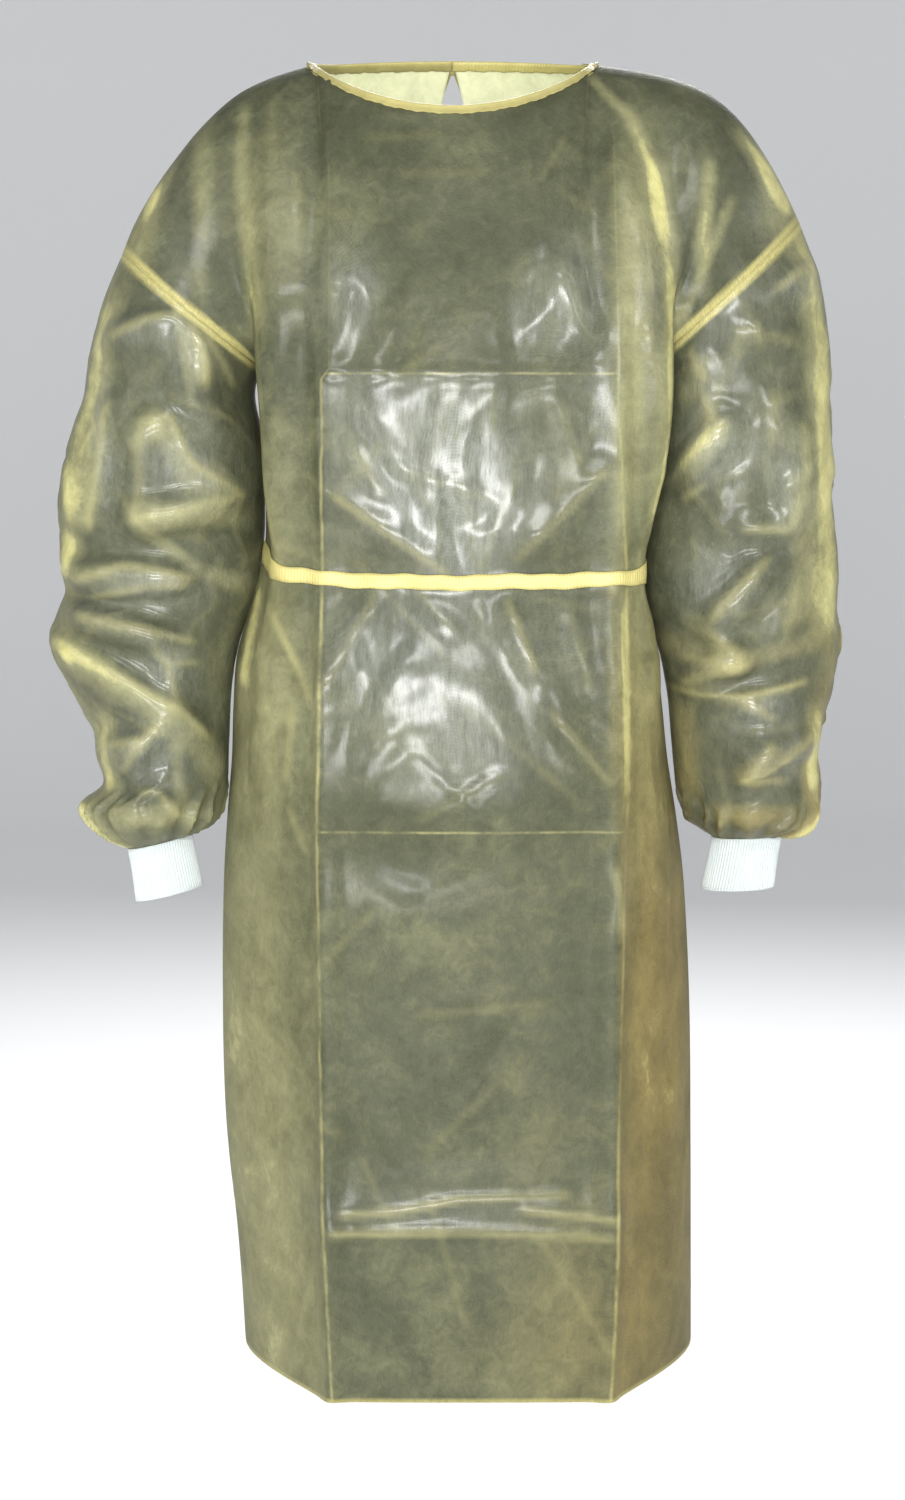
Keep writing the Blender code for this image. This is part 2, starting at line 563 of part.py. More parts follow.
def solid(name, points, faces, material):
    """One object from a closed mesh, with its faces turned outwards."""
    corners = np.array(points)[np.array(faces)]
    volume = np.einsum("ij,ij->i", corners[:, 0], np.cross(corners[:, 1], corners[:, 2])).sum()
    faces = [f[::-1] for f in faces] if volume < 0 else faces
    mesh = bpy.data.meshes.new(name)
    mesh.from_pydata([tuple(p) for p in points], [], [tuple(int(i) for i in f) for f in faces])
    mesh.materials.append(material)
    mesh.shade_smooth()
    mesh.set_sharp_from_angle(angle=math.radians(60))
    made = bpy.data.objects.new(name, mesh)
    bpy.context.scene.collection.objects.link(made)
    return made


def strip(name, loops, material):
    """A closed solid from cross-sections of equal length, one after another. A cross-section runs out
    along one side and back along the other, so that its ends close as a row of quads."""
    loops = np.array(loops)
    stations, around = loops.shape[:2]
    points = loops.reshape(-1, 3)
    faces = []
    for s in range(stations - 1):
        for k in range(around):
            a, b = s * around + k, s * around + (k + 1) % around
            faces += split(points, a, b, b + around, a + around)
    last = (stations - 1) * around
    for k in range(around // 2 - 1):
        a, b, c, d = k, k + 1, around - 2 - k, around - 1 - k
        faces += [(c, b, a), (d, c, a)]
        faces += [(last + a, last + b, last + c), (last + a, last + c, last + d)]
    return solid(name, points, faces, material)


def front_panel(material):
    columns = [(-1, (HALF_COLUMNS - c) / HALF_COLUMNS) for c in range(HALF_COLUMNS)]
    columns += [(1, c / HALF_COLUMNS) for c in range(HALF_COLUMNS + 1)]
    across = np.array([a for _, a in columns])
    points = evened(fold_panel(panel(columns, -1), -1, across), across)
    normals = panel_normals(points, -1, {0: -1, -1: 1})
    edge_columns = across >= NECK_COLUMN / HALF_COLUMNS - 1e-9
    cut = points.copy()
    cut[0, edge_columns] = parted(points[0], points[1], normals[0])[edge_columns]
    for column, moved in part_sides(points, normals, [(0, 1), (-1, -2)]).items():
        cut[:, column] += moved - points[:, column]
    wall("front", cut, normals, material)
    return points, normals


def back_panel(name, side, material):
    """One back panel, from its side seam to its free edge. The wearer's left one laps over the other."""
    across = np.arange(HALF_COLUMNS, -1, -1) / HALF_COLUMNS
    points = panel([(side, a) for a in across], 1)
    points = evened(fold_panel(points, 1, across), across)
    # the free edge: the columns between the packing crease and the middle are spread anew
    past = by_height(OPENING, "past", points[:, -1, 2])
    lift = by_height(OPENING, "lift", points[:, -1, 2]) if side > 0 else 0 * past
    crease = HALF_COLUMNS - CREASE_COLUMN[side]
    spread = np.linspace(0, 1, HALF_COLUMNS - crease + 1 + LAP_COLUMNS)[1:]
    seen = points[:, crease:, :]
    widths = side * seen[..., 0]
    strips = []
    for share in spread:
        x = widths[:, 0] + (-past - widths[:, 0]) * share
        rows = [
            [np.interp(abs(v), width[::-1], row[::-1, k]) for k in (1, 2)]
            for v, width, row in zip(x, widths, seen)
        ]
        strips.append(stack(side * x, np.array(rows)[:, 0], np.array(rows)[:, 1]))
    points = np.concatenate([points[:, : crease + 1], np.stack(strips, axis=1)], axis=1)
    reach = np.concatenate([np.zeros(crease + 1), ease(spread * 1.2)])
    points[..., 1] += lift[:, None] * reach[None]
    normals = panel_normals(points, 1, {0: side})
    cut = points.copy()
    ridge = np.arange(points.shape[1]) <= HALF_COLUMNS - NECK_COLUMN
    cut[0, ridge] = parted(points[0], points[1], normals[0])[ridge]
    for column, moved in part_sides(points, normals, [(0, 1)]).items():
        cut[:, column] += moved - points[:, column]
    wall(name, cut, normals, material)
    return points, normals


def sleeve(name, side, material, cuff_material, cuff_name):
    """A sleeve from its armhole down to the cuff, gathered at its lower end, and its knitted cuff."""
    rows = SLEEVE[side]
    half_turn = np.concatenate([YOKE_SHARES, 2 - YOKE_SHARES[-2:0:-1]])
    knots = np.arange(len(rows["outer"]))

    def ring(at, shares):
        size = {key: smooth(np.array(float(at)), knots, values) for key, values in rows.items()}
        outer = np.array([side * size["outer"], -size["forward"], size["outer_z"]])
        inner = np.array([side * size["inner"], -size["forward"], size["inner_z"]])
        turn = math.pi * shares[:, None]
        depth = np.where(turn < math.pi, -size["front"], size["back"])
        across = (outer + inner) / 2 + np.cos(turn) * (outer - inner) / 2
        return across + np.abs(np.sin(turn)) * depth * np.array([0, 1, 0])

    rings = [ring(at, half_turn) for at in SLEEVE_RINGS]
    rings[0] = np.concatenate([armhole(side, -1), armhole(side, 1)[-2:0:-1]])
    grid = np.stack(rings)
    normals = ring_normals(grid)
    fade = ease(np.arange(len(grid)) / 2) * ease((len(grid) - 1 - np.arange(len(grid))) / 7)
    ahead = ease(0.5 - 0.9 * normals[..., 1])
    lift = ahead * fold_height(grid, SLEEVE_FOLDS[side], -1)
    lift += (1 - ahead) * fold_height(grid, SLEEVE_FOLDS[side], 1)
    lift *= 1 - BODY_SIDE_EVEN * np.exp(-((half_turn - 1) / BODY_SIDE_SPREAD) ** 2)
    grid = grid + normals * (lift * fade[:, None])[..., None]
    normals = ring_normals(grid)
    count = len(YOKE_SHARES)
    behind = np.concatenate([normals[0][:1], normals[0][: count - 2 : -1]])
    normals[0] = np.concatenate([
        arm_normals(side, -1, normals[0][:count]), arm_normals(side, 1, behind)[-2:0:-1],
    ])

    fine = np.stack([np.stack([r, (r + np.roll(r, -1, 0)) / 2], 1).reshape(-1, 3) for r in grid])
    fine_ring = np.stack([half_turn, half_turn + np.diff(np.append(half_turn, 2)) / 2], 1).reshape(-1)
    for k, at in enumerate(SLEEVE_RINGS):
        if at >= GATHER_START:
            mid = ring(at, fine_ring)
            fine[k, 1::2] += (mid - fine[k])[1::2] * ease((at - GATHER_START + 1) / 2)
    last = SLEEVE_RINGS[-1]
    swell = np.sin(math.pi * np.clip((SLEEVE_RINGS - GATHER_START) / (last - GATHER_START), 0, 1)) ** 0.7
    wave = np.cos(np.arange(fine.shape[1]) * 2 * math.pi * GATHERS / fine.shape[1])
    fine = fine + ring_normals(fine) * (GATHER_HEIGHT * swell[:, None] * wave[None])[..., None]
    fine_normals = ring_normals(fine)

    # the cuff hangs from the last ring, leaning towards the body and widening a little
    end = ring(last, half_turn)
    axis = unit(np.array([-side * CUFF_LEAN, 0, -1]))
    middle = end.mean(0)
    downs = np.linspace(0, CUFF_LENGTH, CUFF_ROWS)
    cuff = np.stack([
        middle + (end - middle) * (1 + (CUFF_SPREAD - 1) * ease(d / CUFF_LENGTH)) + axis * d for d in downs
    ])
    cuff_normals = ring_normals(cuff)

    lower = SLEEVE_RINGS >= GATHER_START
    shown = [fine[k] if lower[k] else grid[k] for k in range(len(grid))]
    shown_normals = [fine_normals[k] if lower[k] else normals[k] for k in range(len(grid))]
    sunk = 1 - seam_facing()
    shown[0] = parted(grid[0], grid[1], normals[0], np.concatenate([sunk, sunk[-2:0:-1]]))
    shown[-1] = parted(fine[-1], fine[-2], fine_normals[-1])
    wall(name, shown, shown_normals, material, closed=True)
    cuff_walls = cuff.copy()
    cuff_walls[0] = cuff[0] + axis * SEAM_GAP
    wall(cuff_name, cuff_walls, cuff_normals, cuff_material, closed=True)


def armhole(side, facing):
    return yoke(side, facing, np.array([1.0]), YOKE_SHARES)[:, 0]


def surface(grids):
    """A search tree over the outer triangles of some panels."""
    points, faces = [], []
    for grid in grids:
        outer, triangles = grid_faces(list(grid))
        faces += [tuple(int(i) + len(points) for i in f) for f in triangles]
        points += [tuple(p) for p in outer]
    return BVHTree.FromPolygons(points, faces)


def spread_over(grid):
    """Points spread evenly over each triangle of a grid."""
    points, faces = grid_faces(list(grid))
    cuts = range(SPREAD_CUTS + 1)
    shares = np.array([(a, b, SPREAD_CUTS - a - b) for a in cuts for b in cuts if a + b <= SPREAD_CUTS])
    shares = shares / SPREAD_CUTS
    return np.einsum("sk,fkd->fsd", shares, points[np.array(faces)]).reshape(-1, 3)


def neck_binding(front, left, right, material):
    """The binding folded over the neckline, from the nape round the wearer's left, the front and the
    right and back to the nape. Each of left, right and front is the points and normals of a panel."""
    ahead = slice(HALF_COLUMNS + NECK_COLUMN, HALF_COLUMNS - NECK_COLUMN - 1, -1)
    first = HALF_COLUMNS - NECK_COLUMN + 1
    corners, corner_normals = [
        np.concatenate([left[k][0, : first - 1 : -1], front[k][0, ahead], right[k][0, first:]])
        for k in (0, 1)
    ]
    at = np.arange(len(corners))
    fine = np.linspace(0, at[-1], BINDING_STEPS * at[-1] + 1)
    edge = np.stack([np.interp(fine, at, corners[:, k]) for k in range(3)], axis=1)
    normal = unit(np.stack([np.interp(fine, at, corner_normals[:, k]) for k in range(3)], axis=1))
    padded = np.concatenate([[edge[0]] * 2, edge, [edge[-1]] * 2])
    down = unit(np.cross(normal, padded[4:] - padded[:-4]))
    down *= np.sign((down[:, :2] * edge[:, :2]).sum(1, keepdims=True))
    tree = surface([front[0], left[0], right[0]])
    outer = np.concatenate([spread_over(p[:4]) for p, _ in (front, left, right)])
    inner = np.concatenate([spread_over((p - WALL * n)[:4]) for p, n in (front, left, right)])
    near, far = BINDING_GAP, BINDING_GAP + TAPE
    loops = []
    for e, n, d in zip(edge, normal, down):
        legs = []
        for share in BINDING_LEGS:
            at, _, _, _ = tree.find_nearest(tuple(e + d * BINDING_WIDTH * share))
            found = [hit[1] * (1 if hit[1].dot(n) > 0 else -1) for hit in tree.find_nearest_range(at, 0.004)]
            q, m = np.array(at), unit(np.array(sum(found, found[0] * 0)))
            # clear of the highest and the lowest of the wall near this point
            high, low = [
                ((points - q) @ m)[np.linalg.norm(points - q, axis=1) < BINDING_REACH]
                for points in (outer, inner)
            ]
            legs.append((q + m * max(high.max(), 0), q + m * min(low.min(), -WALL), m))
        loop = [q + m * far for q, _, m in legs] + [q - m * far for _, q, m in legs[::-1]]
        loop += [q - m * near for _, q, m in legs] + [q + m * near for q, _, m in legs[::-1]]
        top = len(legs)
        for k, step in ((top - 1, far), (top, far), (3 * top - 1, near), (3 * top, near)):
            loop[k] = loop[k] - d * step
        loops.append(loop)
    strip("neck_binding", loops, material)
    return np.array(loops)


def along_row(grid, normals, row, x):
    """The point and the normal of one row of a panel at x, between its columns or beyond its edge."""
    order = np.argsort(grid[row, :, 0])
    at = grid[row, order, 0]
    y, z = [np.interp(x, at, grid[row, order, k]) for k in (1, 2)]
    return np.array([x, y, z]), unit(np.array([np.interp(x, at, normals[row, order, k]) for k in range(3)]))


def belt(front, left, right, material):
    """The tape round the waist. Behind, the part on the wearer's right steps out over the free edge of
    the outer panel, and both ends stop at the knot."""
    rows = [len(YOKE_SHARES) - 1 + k for k in range(len(HEIGHTS)) if HEIGHTS[k] in (BELT_TOP, BELT_BOTTOM)]
    side = BELT_KNOT[0] + SEAM_GAP
    edge = left[0][rows[0], -1, 0]
    pairs = [[along_row(*left, row, side) for row in rows]]
    inside = [c for c in range(left[0].shape[1] - 1, 0, -1) if left[0][rows[0], c, 0] > side + 0.006]
    pairs += [[(left[0][row, c], left[1][row, c]) for row in rows] for c in inside]
    pairs += [[(front[0][row, c], front[1][row, c]) for row in rows] for c in range(2 * HALF_COLUMNS, -1, -1)]
    outside = [c for c in range(1, right[0].shape[1]) if right[0][rows[0], c, 0] < edge - BELT_STEP_OVER - 0.006]
    pairs += [[(right[0][row, c], right[1][row, c]) for row in rows] for c in outside]
    pairs += [[along_row(*right, row, edge - BELT_STEP_OVER) for row in rows]]
    pairs += [[along_row(*left, row, x) for row in rows] for x in (edge - 0.0015, (edge - side) / 2, -side)]
    near, far = SEAM_GAP, SEAM_GAP + TAPE
    loops = []
    for (top, top_normal), (low, low_normal) in pairs:
        loops.append([
            top + top_normal * near, low + low_normal * near, low + low_normal * far, top + top_normal * far,
        ])
    strip("belt", loops, material)


def rest(tree, x, z, dx=0.0, dz=0.0):
    """How far back the panels reach at x and z and a little way to both sides of it, or None."""
    hits = [tree.ray_cast((x + t * dx, 1, z + t * dz), (0, -1, 0))[0] for t in (-1, -0.5, 0, 0.5, 1)]
    return max((hit.y for hit in hits if hit), default=None)


def knot(name, centre, half, material):
    """A rounded lump, flattened a little on every side."""
    points, faces = [(0, 0, 1)], []
    rings, around = KNOT_RINGS, KNOT_AROUND
    for r in range(1, rings + 1):
        for k in range(around):
            tilt, turn = math.pi * r / (rings + 1), 2 * math.pi * k / around
            points.append((math.sin(tilt) * math.cos(turn), math.sin(tilt) * math.sin(turn), math.cos(tilt)))
    points.append((0, 0, -1))
    for k in range(around):
        n = (k + 1) % around
        faces.append((0, 1 + k, 1 + n))
        for r in range(rings - 1):
            a, b = 1 + r * around, 1 + (r + 1) * around
            faces += [(a + k, b + k, b + n), (a + k, b + n, a + n)]
        faces.append((len(points) - 1, 1 + (rings - 1) * around + n, 1 + (rings - 1) * around + k))
    points = np.array(points)
    points = np.sign(points) * np.abs(points) ** KNOT_POWER
    points /= np.abs(points).max(0)
    solid(name, centre + points * half, faces, material)


def tail(name, tree, side, z, size, material):
    """A free end of tape from below a knot, lying on the back panels wherever they stand out most."""
    count = round(size["length"] / TAIL_STEP)
    shares = np.linspace(0, 1, count + 1)
    x = side * (size["start"] + (size["end"] - size["start"]) * (1 - (1 - shares) ** 1.7))
    z = z - size["length"] * shares
    dx, dz = np.gradient(x), np.gradient(z)
    loops = []
    for k in range(count + 1):
        long = math.hypot(dx[k], dz[k])
        ux, uz = -dz[k] / long * TAIL_WIDTH / 2, dx[k] / long * TAIL_WIDTH / 2
        middle = rest(tree, x[k], z[k], dx[k], dz[k])
        sides = [rest(tree, x[k] + t * ux, z[k] + t * uz, dx[k], dz[k]) for t in (-1, 1)]
        sides = [middle if s is None else s for s in sides]
        short = max(0, middle - sum(sides) / 2)
        stand = TAIL_GAP + TAIL_STAND * (1 - ease(shares[k] * size["length"] / 0.025))
        low = [np.array([x[k] + t * ux, s + short + stand, z[k] + t * uz]) for t, s in zip((-1, 1), sides)]
        out = np.array([0, TAPE, 0])
        loops.append([low[0], low[1], low[1] + out, low[0] + out])
    strip(name, loops, material)


clear_scene()
cloth = finish("coated_cloth", OLIVE, 0.35)
tape = finish("tape", YELLOW, 0.6)
knit = finish("knit", WHITE, 0.8)
front = front_panel(cloth)
back_right = back_panel("back_right", -1, cloth)
back_left = back_panel("back_left", 1, cloth)
sleeve("sleeve_right", -1, cloth, knit, "cuff_right")
sleeve("sleeve_left", 1, cloth, knit, "cuff_left")
bound = neck_binding(front, back_left, back_right, tape)
belt(front, back_left, back_right, tape)
backs = surface([back_left[0], back_right[0]])

nape_z = 0.0078
stands = bound[np.abs(bound[..., 0]) < NECK_KNOT[0] + 0.003][:, 1].max()
stands = max(stands, rest(backs, NECK_KNOT[0], nape_z - NECK_KNOT[2], 0, 0.003))
nape = np.array([0, stands + SEAM_GAP + NECK_KNOT[1], nape_z])
waist_z = (BELT_TOP + BELT_BOTTOM) / 2 + BELT_RISE_BACK
waist = np.array([0, rest(backs, 0, waist_z, BELT_KNOT[0], 0) + SEAM_GAP + BELT_KNOT[1], waist_z])
knot("neck_knot", nape, NECK_KNOT, tape)
knot("belt_knot", waist, BELT_KNOT, tape)
for row, (side, word) in enumerate([(1, "left"), (-1, "right")]):
    for place, centre, half, sizes in (
        ("neck", nape, NECK_KNOT, NECK_TAILS), ("belt", waist, BELT_KNOT, BELT_TAILS),
    ):
        size = {key: values[row] for key, values in sizes.items()}
        tail(f"{place}_tail_{word}", backs, side, centre[2] - half[2] - SEAM_GAP, size, tape)
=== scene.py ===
"""Isolation gown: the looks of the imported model, in the model's own frame and in metres.

The front faces -Y, the wearer's left is +X and the shoulders are at Z = 0. Each section below makes one
piece of the gown, or a group of like pieces, in the order in which a maker sews them.
"""

import math

import bmesh
import bpy
import numpy as np
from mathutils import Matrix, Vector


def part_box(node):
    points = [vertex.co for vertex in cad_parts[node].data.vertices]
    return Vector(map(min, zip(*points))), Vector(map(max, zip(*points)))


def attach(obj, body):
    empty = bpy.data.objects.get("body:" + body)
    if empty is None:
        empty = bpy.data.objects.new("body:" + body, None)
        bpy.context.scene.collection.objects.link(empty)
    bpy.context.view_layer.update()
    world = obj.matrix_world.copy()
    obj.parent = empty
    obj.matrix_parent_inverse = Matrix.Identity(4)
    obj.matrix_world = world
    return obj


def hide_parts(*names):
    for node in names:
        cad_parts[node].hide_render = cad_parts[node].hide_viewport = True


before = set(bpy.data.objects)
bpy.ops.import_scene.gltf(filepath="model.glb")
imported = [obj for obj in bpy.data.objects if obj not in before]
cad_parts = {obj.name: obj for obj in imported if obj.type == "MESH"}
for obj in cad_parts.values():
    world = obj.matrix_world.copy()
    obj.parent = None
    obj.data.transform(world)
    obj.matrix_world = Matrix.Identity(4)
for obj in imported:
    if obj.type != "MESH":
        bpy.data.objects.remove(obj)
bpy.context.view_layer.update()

# ---------------------------------------------------------------------------------------------------
# Front. One cut of thin yellow non-woven cloth with a glossy film on its outside, as wide as the body
# and as long as the gown. It was packed folded, so that sharp creases run down and across it.
# ---------------------------------------------------------------------------------------------------

LENGTH = 1.15
NECK_HALF = 0.121
NECK_FRONT_DEPTH = 0.085
NECK_FRONT_DROP = 0.044
NECK_BACK_DEPTH = 0.085
NECK_BACK_RISE = 0.012
NECK_LEAVE = (0.10, -0.20)
SHOULDER_LEAVE = 0.24
RIDGE_FALL = 0.02
RIDGE_SPREAD = 0.15
SECTION_ARRIVE = 0.24
UNDERARM_IN = 0.013
UNDERARM_DROP = 0.007
UNDERARM_FROM = (0.66, 0.4)
# Columns of the coarse grid from the middle to the side seam, and those of the neck point and the
# packing crease on each side. Rows of the yoke, as shares of the way from the shoulder to the armpit.
HALF_COLUMNS = 15
NECK_COLUMN = 5
CREASE_COLUMN = {-1: 5, 1: 6}
YOKE_SHARES = np.array([0, 0.045, 0.13, 0.24, 0.35, 0.46, 0.57, 0.68, 0.79, 0.90, 1])
ARMPIT = -0.262
BELT_TOP = -0.4415
BELT_BOTTOM = -0.4525
HEIGHTS = np.array([
    ARMPIT, -0.295, -0.330, -0.365, -0.403, BELT_TOP, BELT_BOTTOM, -0.487, -0.525, -0.566, -0.610,
    -0.657, -0.710, -0.770, -0.830, -0.890, -0.945, -0.985, -1.030, -1.090, -LENGTH,
])
BELT_ROW = len(YOKE_SHARES) - 1 + 5


def table(columns, rows):
    """A table as one array for each named column."""
    return dict(zip(columns.split(), np.array(rows, float).T))


# The shoulder seams, and the sections of the body: half widths, depths, bow of the front plane, turn
# of the section at the packing creases in degrees, and bulge of the loose cloth beside the arms.
RIDGE = {
    -1: table("x z", [
        (0.121, 0.000), (0.152, -0.009), (0.185, -0.024), (0.214, -0.048),
        (0.240, -0.078), (0.262, -0.108), (0.279, -0.137), (0.290, -0.163),
    ]),
    1: table("x z", [
        (0.121, 0.000), (0.158, -0.005), (0.192, -0.012), (0.225, -0.026),
        (0.251, -0.048), (0.275, -0.080), (0.293, -0.112), (0.305, -0.137),
    ]),
}
BODY = table("z right left front back bow turn lobe_right lobe_left", [
    (ARMPIT, 0.170, 0.172, 0.128, 0.112, 0.012, 30, 0.024, 0.026),
    (-0.310, 0.167, 0.170, 0.129, 0.108, 0.012, 30, 0.022, 0.028),
    (-0.365, 0.166, 0.168, 0.126, 0.100, 0.012, 30, 0.022, 0.022),
    (-0.415, 0.167, 0.162, 0.118, 0.093, 0.013, 30, 0.016, 0.012),
    (-0.447, 0.168, 0.162, 0.115, 0.090, 0.014, 30, 0.012, 0.008),
    (-0.480, 0.177, 0.170, 0.122, 0.099, 0.013, 32, 0.014, 0.010),
    (-0.520, 0.192, 0.182, 0.134, 0.111, 0.010, 36, 0.014, 0.012),
    (-0.600, 0.198, 0.192, 0.145, 0.123, 0.007, 42, 0.008, 0.006),
    (-0.700, 0.206, 0.207, 0.152, 0.134, 0.005, 46, 0.004, 0.004),
    (-0.820, 0.209, 0.215, 0.160, 0.144, 0.004, 50, 0.001, 0.001),
    (-0.960, 0.206, 0.218, 0.170, 0.155, 0.003, 54, 0.000, 0.000),
    (-1.050, 0.197, 0.219, 0.175, 0.162, 0.002, 56, 0.000, 0.000),
    (-LENGTH, 0.191, 0.220, 0.180, 0.168, 0.002, 58, 0.000, 0.000),
])
LOBE_SHARE = 0.34
LOBE_SPREAD = 0.22
LOBE_FORWARD = 0.5
CREASE_X = {-1: (0.113, 0.107), 1: (0.142, 0.137)}
BELT_RISE = {-1: 0.024, 1: 0.014}
BELT_RISE_BACK = 0.017
BELT_REACH = 0.07
EVEN_TIMES = 3
EVEN_SHARE = 0.6
EVEN_ROWS = (2, 5, 13, 17)
EVEN_ACROSS = (0.5, 0.7)
ARMHOLE = {-1: (0.096, 0.092), 1: (0.096, 0.092)}
# The largest folds of the front and back, which the solids have too: ends, half width, height, whether
# sharp, and side (-1 on the front, 1 on the back).
LARGE_FOLDS = table("x0 z0 x1 z1 half height sharp side", [
    (-0.186, -0.050, -0.184, -0.250, 0.040, -0.010, 0, -1),
    (0.176, -0.060, 0.215, -0.235, 0.040, -0.012, 0, -1),
    (-0.150, -0.060, -0.156, -0.300, 0.036, 0.007, 0, -1),
    (0.146, -0.050, 0.176, -0.300, 0.036, 0.010, 0, -1),
    (-0.112, -0.200, -0.107, -1.149, 0.022, 0.004, 1, -1),
    (0.142, -0.200, 0.137, -1.149, 0.022, 0.005, 1, -1),
    (-0.100, -0.370, 0.000, -0.440, 0.030, 0.006, 0, -1),
    (0.135, -0.345, 0.050, -0.425, 0.030, 0.006, 0, -1),
    (-0.060, -0.455, -0.110, -0.540, 0.024, 0.006, 0, -1),
    (0.045, -0.470, 0.075, -0.520, 0.024, 0.005, 0, -1),
    (-0.180, -0.460, -0.120, -0.560, 0.030, -0.007, 0, -1),
    (0.160, -0.455, 0.172, -0.560, 0.028, -0.007, 0, -1),
    (0.085, -0.550, 0.140, -0.620, 0.026, 0.005, 0, -1),
    (-0.070, -0.190, -0.045, -0.270, 0.026, -0.004, 0, -1),
    (0.090, -0.170, 0.110, -0.255, 0.024, 0.006, 0, -1),
    (-0.104, -0.985, 0.135, -0.985, 0.030, 0.004, 1, -1),
    (-0.110, -0.657, 0.140, -0.657, 0.030, 0.003, 1, -1),
    (-0.112, -0.200, -0.107, -1.149, 0.022, 0.004, 1, 1),
    (0.142, -0.200, 0.137, -1.149, 0.022, 0.005, 1, 1),
    (-0.180, -0.070, -0.178, -0.250, 0.040, -0.009, 0, 1),
    (0.184, -0.070, 0.182, -0.250, 0.040, -0.009, 0, 1),
    (-0.075, -0.340, -0.050, -0.435, 0.026, 0.006, 0, 1),
    (0.095, -0.350, 0.070, -0.435, 0.026, 0.006, 0, 1),
    (-0.080, -0.465, -0.100, -0.580, 0.026, 0.006, 0, 1),
    (0.080, -0.465, 0.105, -0.570, 0.026, 0.006, 0, 1),
    (-0.150, -0.465, -0.165, -0.560, 0.028, -0.006, 0, 1),
    (0.150, -0.465, 0.160, -0.560, 0.028, -0.006, 0, 1),
])


def smooth(at, knots, values):
    """A cubic through the knots at each place in at. Its slope at a knot is that of the line through the
    knots on both sides. values may hold numbers, points or whole rows of points."""
    values = np.asarray(values, float)
    slopes = np.gradient(values, knots, axis=0)
    at = np.clip(np.asarray(at, float), knots[0], knots[-1])
    k = np.clip(np.searchsorted(knots, at, side="right") - 1, 0, len(knots) - 2)
    deep = at.shape + (1,) * (values.ndim - 1)
    step = (knots[k + 1] - knots[k]).reshape(deep)
    t = (at - knots[k]).reshape(deep) / step
    rise = 3 * t**2 - 2 * t**3
    return (
        values[k] * (1 - rise) + values[k + 1] * rise
        + step * (slopes[k] * (t**3 - 2 * t**2 + t) + slopes[k + 1] * (t**3 - t**2))
    )


def by_height(rows, name, z):
    """A column of a table that runs downwards, at height z."""
    return smooth(-z, -rows["z"], rows[name])


def ease(t):
    """0 below t = 0, 1 above t = 1, and a smooth step between."""
    t = np.clip(t, 0, 1)
    return t * t * (3 - 2 * t)


def unit(vectors):
    """The vectors at length 1."""
    return vectors / np.maximum(np.linalg.norm(vectors, axis=-1, keepdims=True), 1e-12)


def stack(x, y, z):
    """Points from three arrays of coordinates."""
    return np.stack(np.broadcast_arrays(x, y, z), axis=-1)


def hermite(start, end, leave, arrive, t):
    """The cubic from start to end that leaves and arrives with the given tangents."""
    t = t[..., None]
    rise = 3 * t**2 - 2 * t**3
    return start * (1 - rise) + end * rise + leave * (t**3 - 2 * t**2 + t) + arrive * (t**3 - t**2)


def section(side, facing, across, z):
    """A quarter of the body at height z, with across 0 in the middle and 1 at the side seam: a parabola
    as far as the packing crease, then a cubic back to the seam, and a bell-shaped bulge out of it."""
    across, z = np.broadcast_arrays(across, z)
    word = "right" if side < 0 else "left"
    half = by_height(BODY, word, z)
    depth = by_height(BODY, "front" if facing < 0 else "back", z)
    bow = by_height(BODY, "bow", z)
    turn = np.radians(by_height(BODY, "turn", z))
    lobe = by_height(BODY, "lobe_" + word, z) * (1 if facing < 0 else 0.7)
    chest, hem = CREASE_X[side]
    crease = chest + (hem - chest) * (ARMPIT - z) / (LENGTH + ARMPIT)
    share = CREASE_COLUMN[side] / HALF_COLUMNS
    inner = np.clip(across / share, 0, 1)
    outer = np.clip((across - share) / (1 - share), 0, 1)
    corner = depth - bow
    chord = 0.92 * np.hypot(half - crease, corner)
    flank = hermite(
        stack(crease, corner, 0), stack(half, 0, 0),
        stack(chord * np.cos(turn), -chord * np.sin(turn), 0), stack(0.05 * chord, -chord, 0), outer,
    )
    bulge = lobe * np.exp(-((outer - LOBE_SHARE) / LOBE_SPREAD) ** 2) * ease(outer / 0.25)
    bulge = bulge * ease((1 - outer) / 0.4)
    x = np.where(across < share, crease * inner, flank[..., 0] + bulge)
    y = np.where(across < share, depth - bow * inner**2, flank[..., 1] + LOBE_FORWARD * bulge)
    rise = BELT_RISE[side] * across**2
    if facing > 0:
        rise = BELT_RISE_BACK + (BELT_RISE[side] - BELT_RISE_BACK) * across**2
    belt = (BELT_TOP + BELT_BOTTOM) / 2
    climb = rise * np.exp(-((z - belt) / BELT_REACH) ** 2)
    return stack(side * x, facing * y, z + climb)


def top_edge(side, facing, across):
    """The upper edge of a panel: a quarter of the neckline as far as the neck point, where x and y
    follow a sine and a cosine, then the shoulder seam."""
    share = NECK_COLUMN / HALF_COLUMNS
    angle = np.clip(across / share, 0, 1) * math.pi / 2
    fall = np.cos(angle)
    if facing < 0:
        neck = stack(NECK_HALF * np.sin(angle), NECK_FRONT_DEPTH * fall, -NECK_FRONT_DROP * fall**1.6)
    else:
        neck = stack(NECK_HALF * np.sin(angle), NECK_BACK_DEPTH * fall, NECK_BACK_RISE * fall**1.5)
    ridge = RIDGE[side]
    run = np.concatenate([[0], np.cumsum(np.hypot(np.diff(ridge["x"]), np.diff(ridge["z"])))])
    way = np.clip((across - share) / (1 - share), 0, 1) * run[-1]
    seam = stack(smooth(way, run, ridge["x"]), 0, smooth(way, run, ridge["z"]))
    edge = np.where((across <= share)[..., None], neck, seam)
    return edge * np.array([side, facing, 1])


